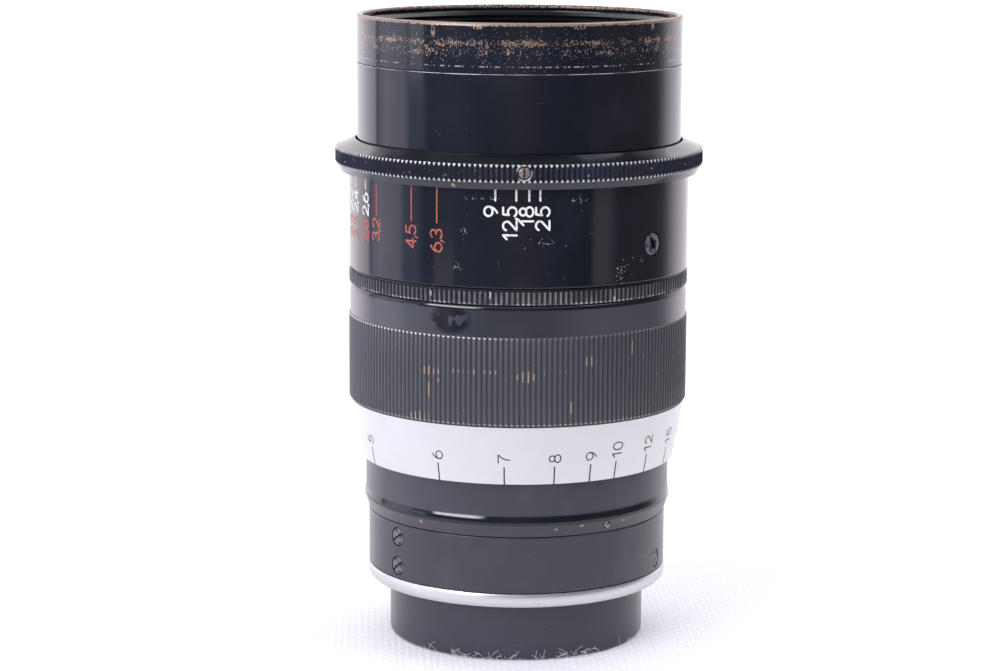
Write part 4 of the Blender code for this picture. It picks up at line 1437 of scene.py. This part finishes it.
# How bright the walls are in each direction, below the sky: azimuth, level, tint
WALLS = (
    (-180, 0.56, WHITE), (180, 0.56, WHITE), (-160, 0.72, WHITE), (-144, 0.97, MAUVE),
    (-124, 0.9, MAUVE), (-121.5, 0.8, MAUVE), (-119.5, 0.28, NAVY), (-115, 0.5, LILAC),
    (-107, 0.76, LILAC), (-87, 0.78, LILAC), (-82.5, 0.36, NAVY), (-72, 0.38, NAVY),
    (-66, 0.15, NAVY), (-40, 0.18, NAVY), (-20, 0.12, NAVY), (0, 0.14, LILAC), (22, 0.09, NAVY),
    (45, 0.06, NAVY), (72, 0.09, LILAC), (102, 0.075, LILAC), (113, 0.13, LILAC),
    (120, 0.33, MAUVE), (128, 0.66, MAUVE), (137, 0.8, MAUVE), (152, 0.76, MAUVE),
    (168, 0.62, WHITE),
)
SKY = (
    (-180, 0.85, WHITE), (180, 0.85, WHITE), (-112, 0.85, WHITE), (-98, 0.4, WHITE),
    (-84, 0.5, WHITE), (-74, 1.0, WHITE), (-20, 1.0, WHITE), (-4, 0.75, WHITE), (76, 0.75, WHITE),
    (88, 0.35, WHITE), (102, 0.35, WHITE), (118, 0.85, WHITE),
)
SKY_ELEVATION = (24, 38)
ZENITH = (66, 74)
ZENITH_LEVEL = 0.1
# Cards and the lamp: where each fades in and out by azimuth and by elevation, and its level
CARDS = (
    ((-68, -63, -33, -22), (13, 15.5, 24, 28), (6.6, 6.6, 6.8)),
    ((-84, -82.5, -71.5, -70.5), (-4.75, -4.6, 8, 12), (0.78, 0.77, 0.91)),
    ((-60, -56, -45, -42.5), (-9.9, -9.5, -8.4, -7.8), (0.38, 0.38, 0.44)),
    ((49, 53, 60, 72), (-9.8, -9.2, -6.9, -6.4), (0.31, 0.31, 0.35)),
    ((-50, -38, 40, 52), (47, 51, 62, 68), (0.3, 0.36, 0.62)),
    ((52, 57, 92, 98), (38, 41, 52, 55), (3.0, 2.9, 3.3)),
)
LIGHT_STRENGTH = 2.1


def make_world():
    """A light tent, open and dark towards the front and the top, with a lamp on the left."""
    world = bpy.data.worlds.new("studio")
    bpy.context.scene.world = world
    world.use_nodes = True
    world.node_tree.nodes.clear()
    sky = Nodes(world.node_tree, "Generated")
    heading = sky.heading()
    turn = heading / math.tau + 0.5
    azimuth = heading * math.degrees(1.0)
    elevation = sky.math("ARCSINE", sky.z) * math.degrees(1.0)

    def ramp(stops):
        item = sky.tree.nodes.new("ShaderNodeValToRGB")
        sky.put(item.inputs[0], turn)
        elements = item.color_ramp.elements
        for i, (towards, level, tint) in enumerate(stops):
            place = (towards + 180.0) / 360.0
            stop = elements[i] if i < 2 else elements.new(place)
            stop.position = place
            stop.color = (*scaled(tint, level), 1.0)
        return Value(sky, item.outputs[0])

    def card_mask(value, stops):
        return sky.step(value, *stops[:2]) * sky.step(value, stops[3], stops[2])

    light = sky.mix(sky.step(elevation, *SKY_ELEVATION), ramp(WALLS), ramp(SKY))
    light = sky.mix(sky.step(elevation, *ZENITH), light, (ZENITH_LEVEL,) * 3)
    for sides, ends, colour in CARDS:
        light = sky.mix(card_mask(azimuth, sides) * card_mask(elevation, ends), light, colour)
    lit = sky.add("Background", {"Color": light, "Strength": LIGHT_STRENGTH})
    seen = sky.add("Background", {"Color": (1.0, 1.0, 1.0, 1.0), "Strength": 1.0})
    from_camera = sky.add("LightPath", {}, "Is Camera Ray")
    chosen = sky.add("MixShader", {0: from_camera, 1: lit, 2: seen})
    output = sky.tree.nodes.new("ShaderNodeOutputWorld")
    sky.put(output.inputs[0], chosen)


CAMERA_PLACE = (0.0, -440.2, 125.2)
CAMERA_PITCH = 9.95
CAMERA_YAW = -0.37
CAMERA_ROLL = 0.32


def make_camera():
    data = bpy.data.cameras.new("camera")
    data.lens = 100.0
    data.sensor_width = 36.0
    data.clip_start = 0.01
    camera = add_piece("camera", data)
    level = Matrix.Rotation(math.radians(90.0 - CAMERA_PITCH), 4, "X")
    turn = Matrix.Rotation(math.radians(-CAMERA_YAW), 4, "Z")
    roll = Matrix.Rotation(math.radians(CAMERA_ROLL), 4, "Z")
    camera.matrix_world = Matrix.Translation(Vector(CAMERA_PLACE) * MM) @ turn @ level @ roll
    bpy.context.scene.camera = camera


# ---------------------------------------------------------------- everything

make_camera()
make_world()
make_floor()
dress_inner_nodes()
make_filter_ring()
make_front_barrel()
make_aperture_ring()
make_body_barrel()
make_lock_ring()
make_focusing_ring()
make_scale_ring()
make_sliding_barrel()
make_collar()
make_helicoid_tube()
make_flange()
make_rear_cap()
make_screws()
make_aperture_scale()
make_distance_scale()
make_index_dot()
make_scratches()
make_lenses()
make_front_cell()
bpy.context.scene.view_settings.view_transform = "Standard"
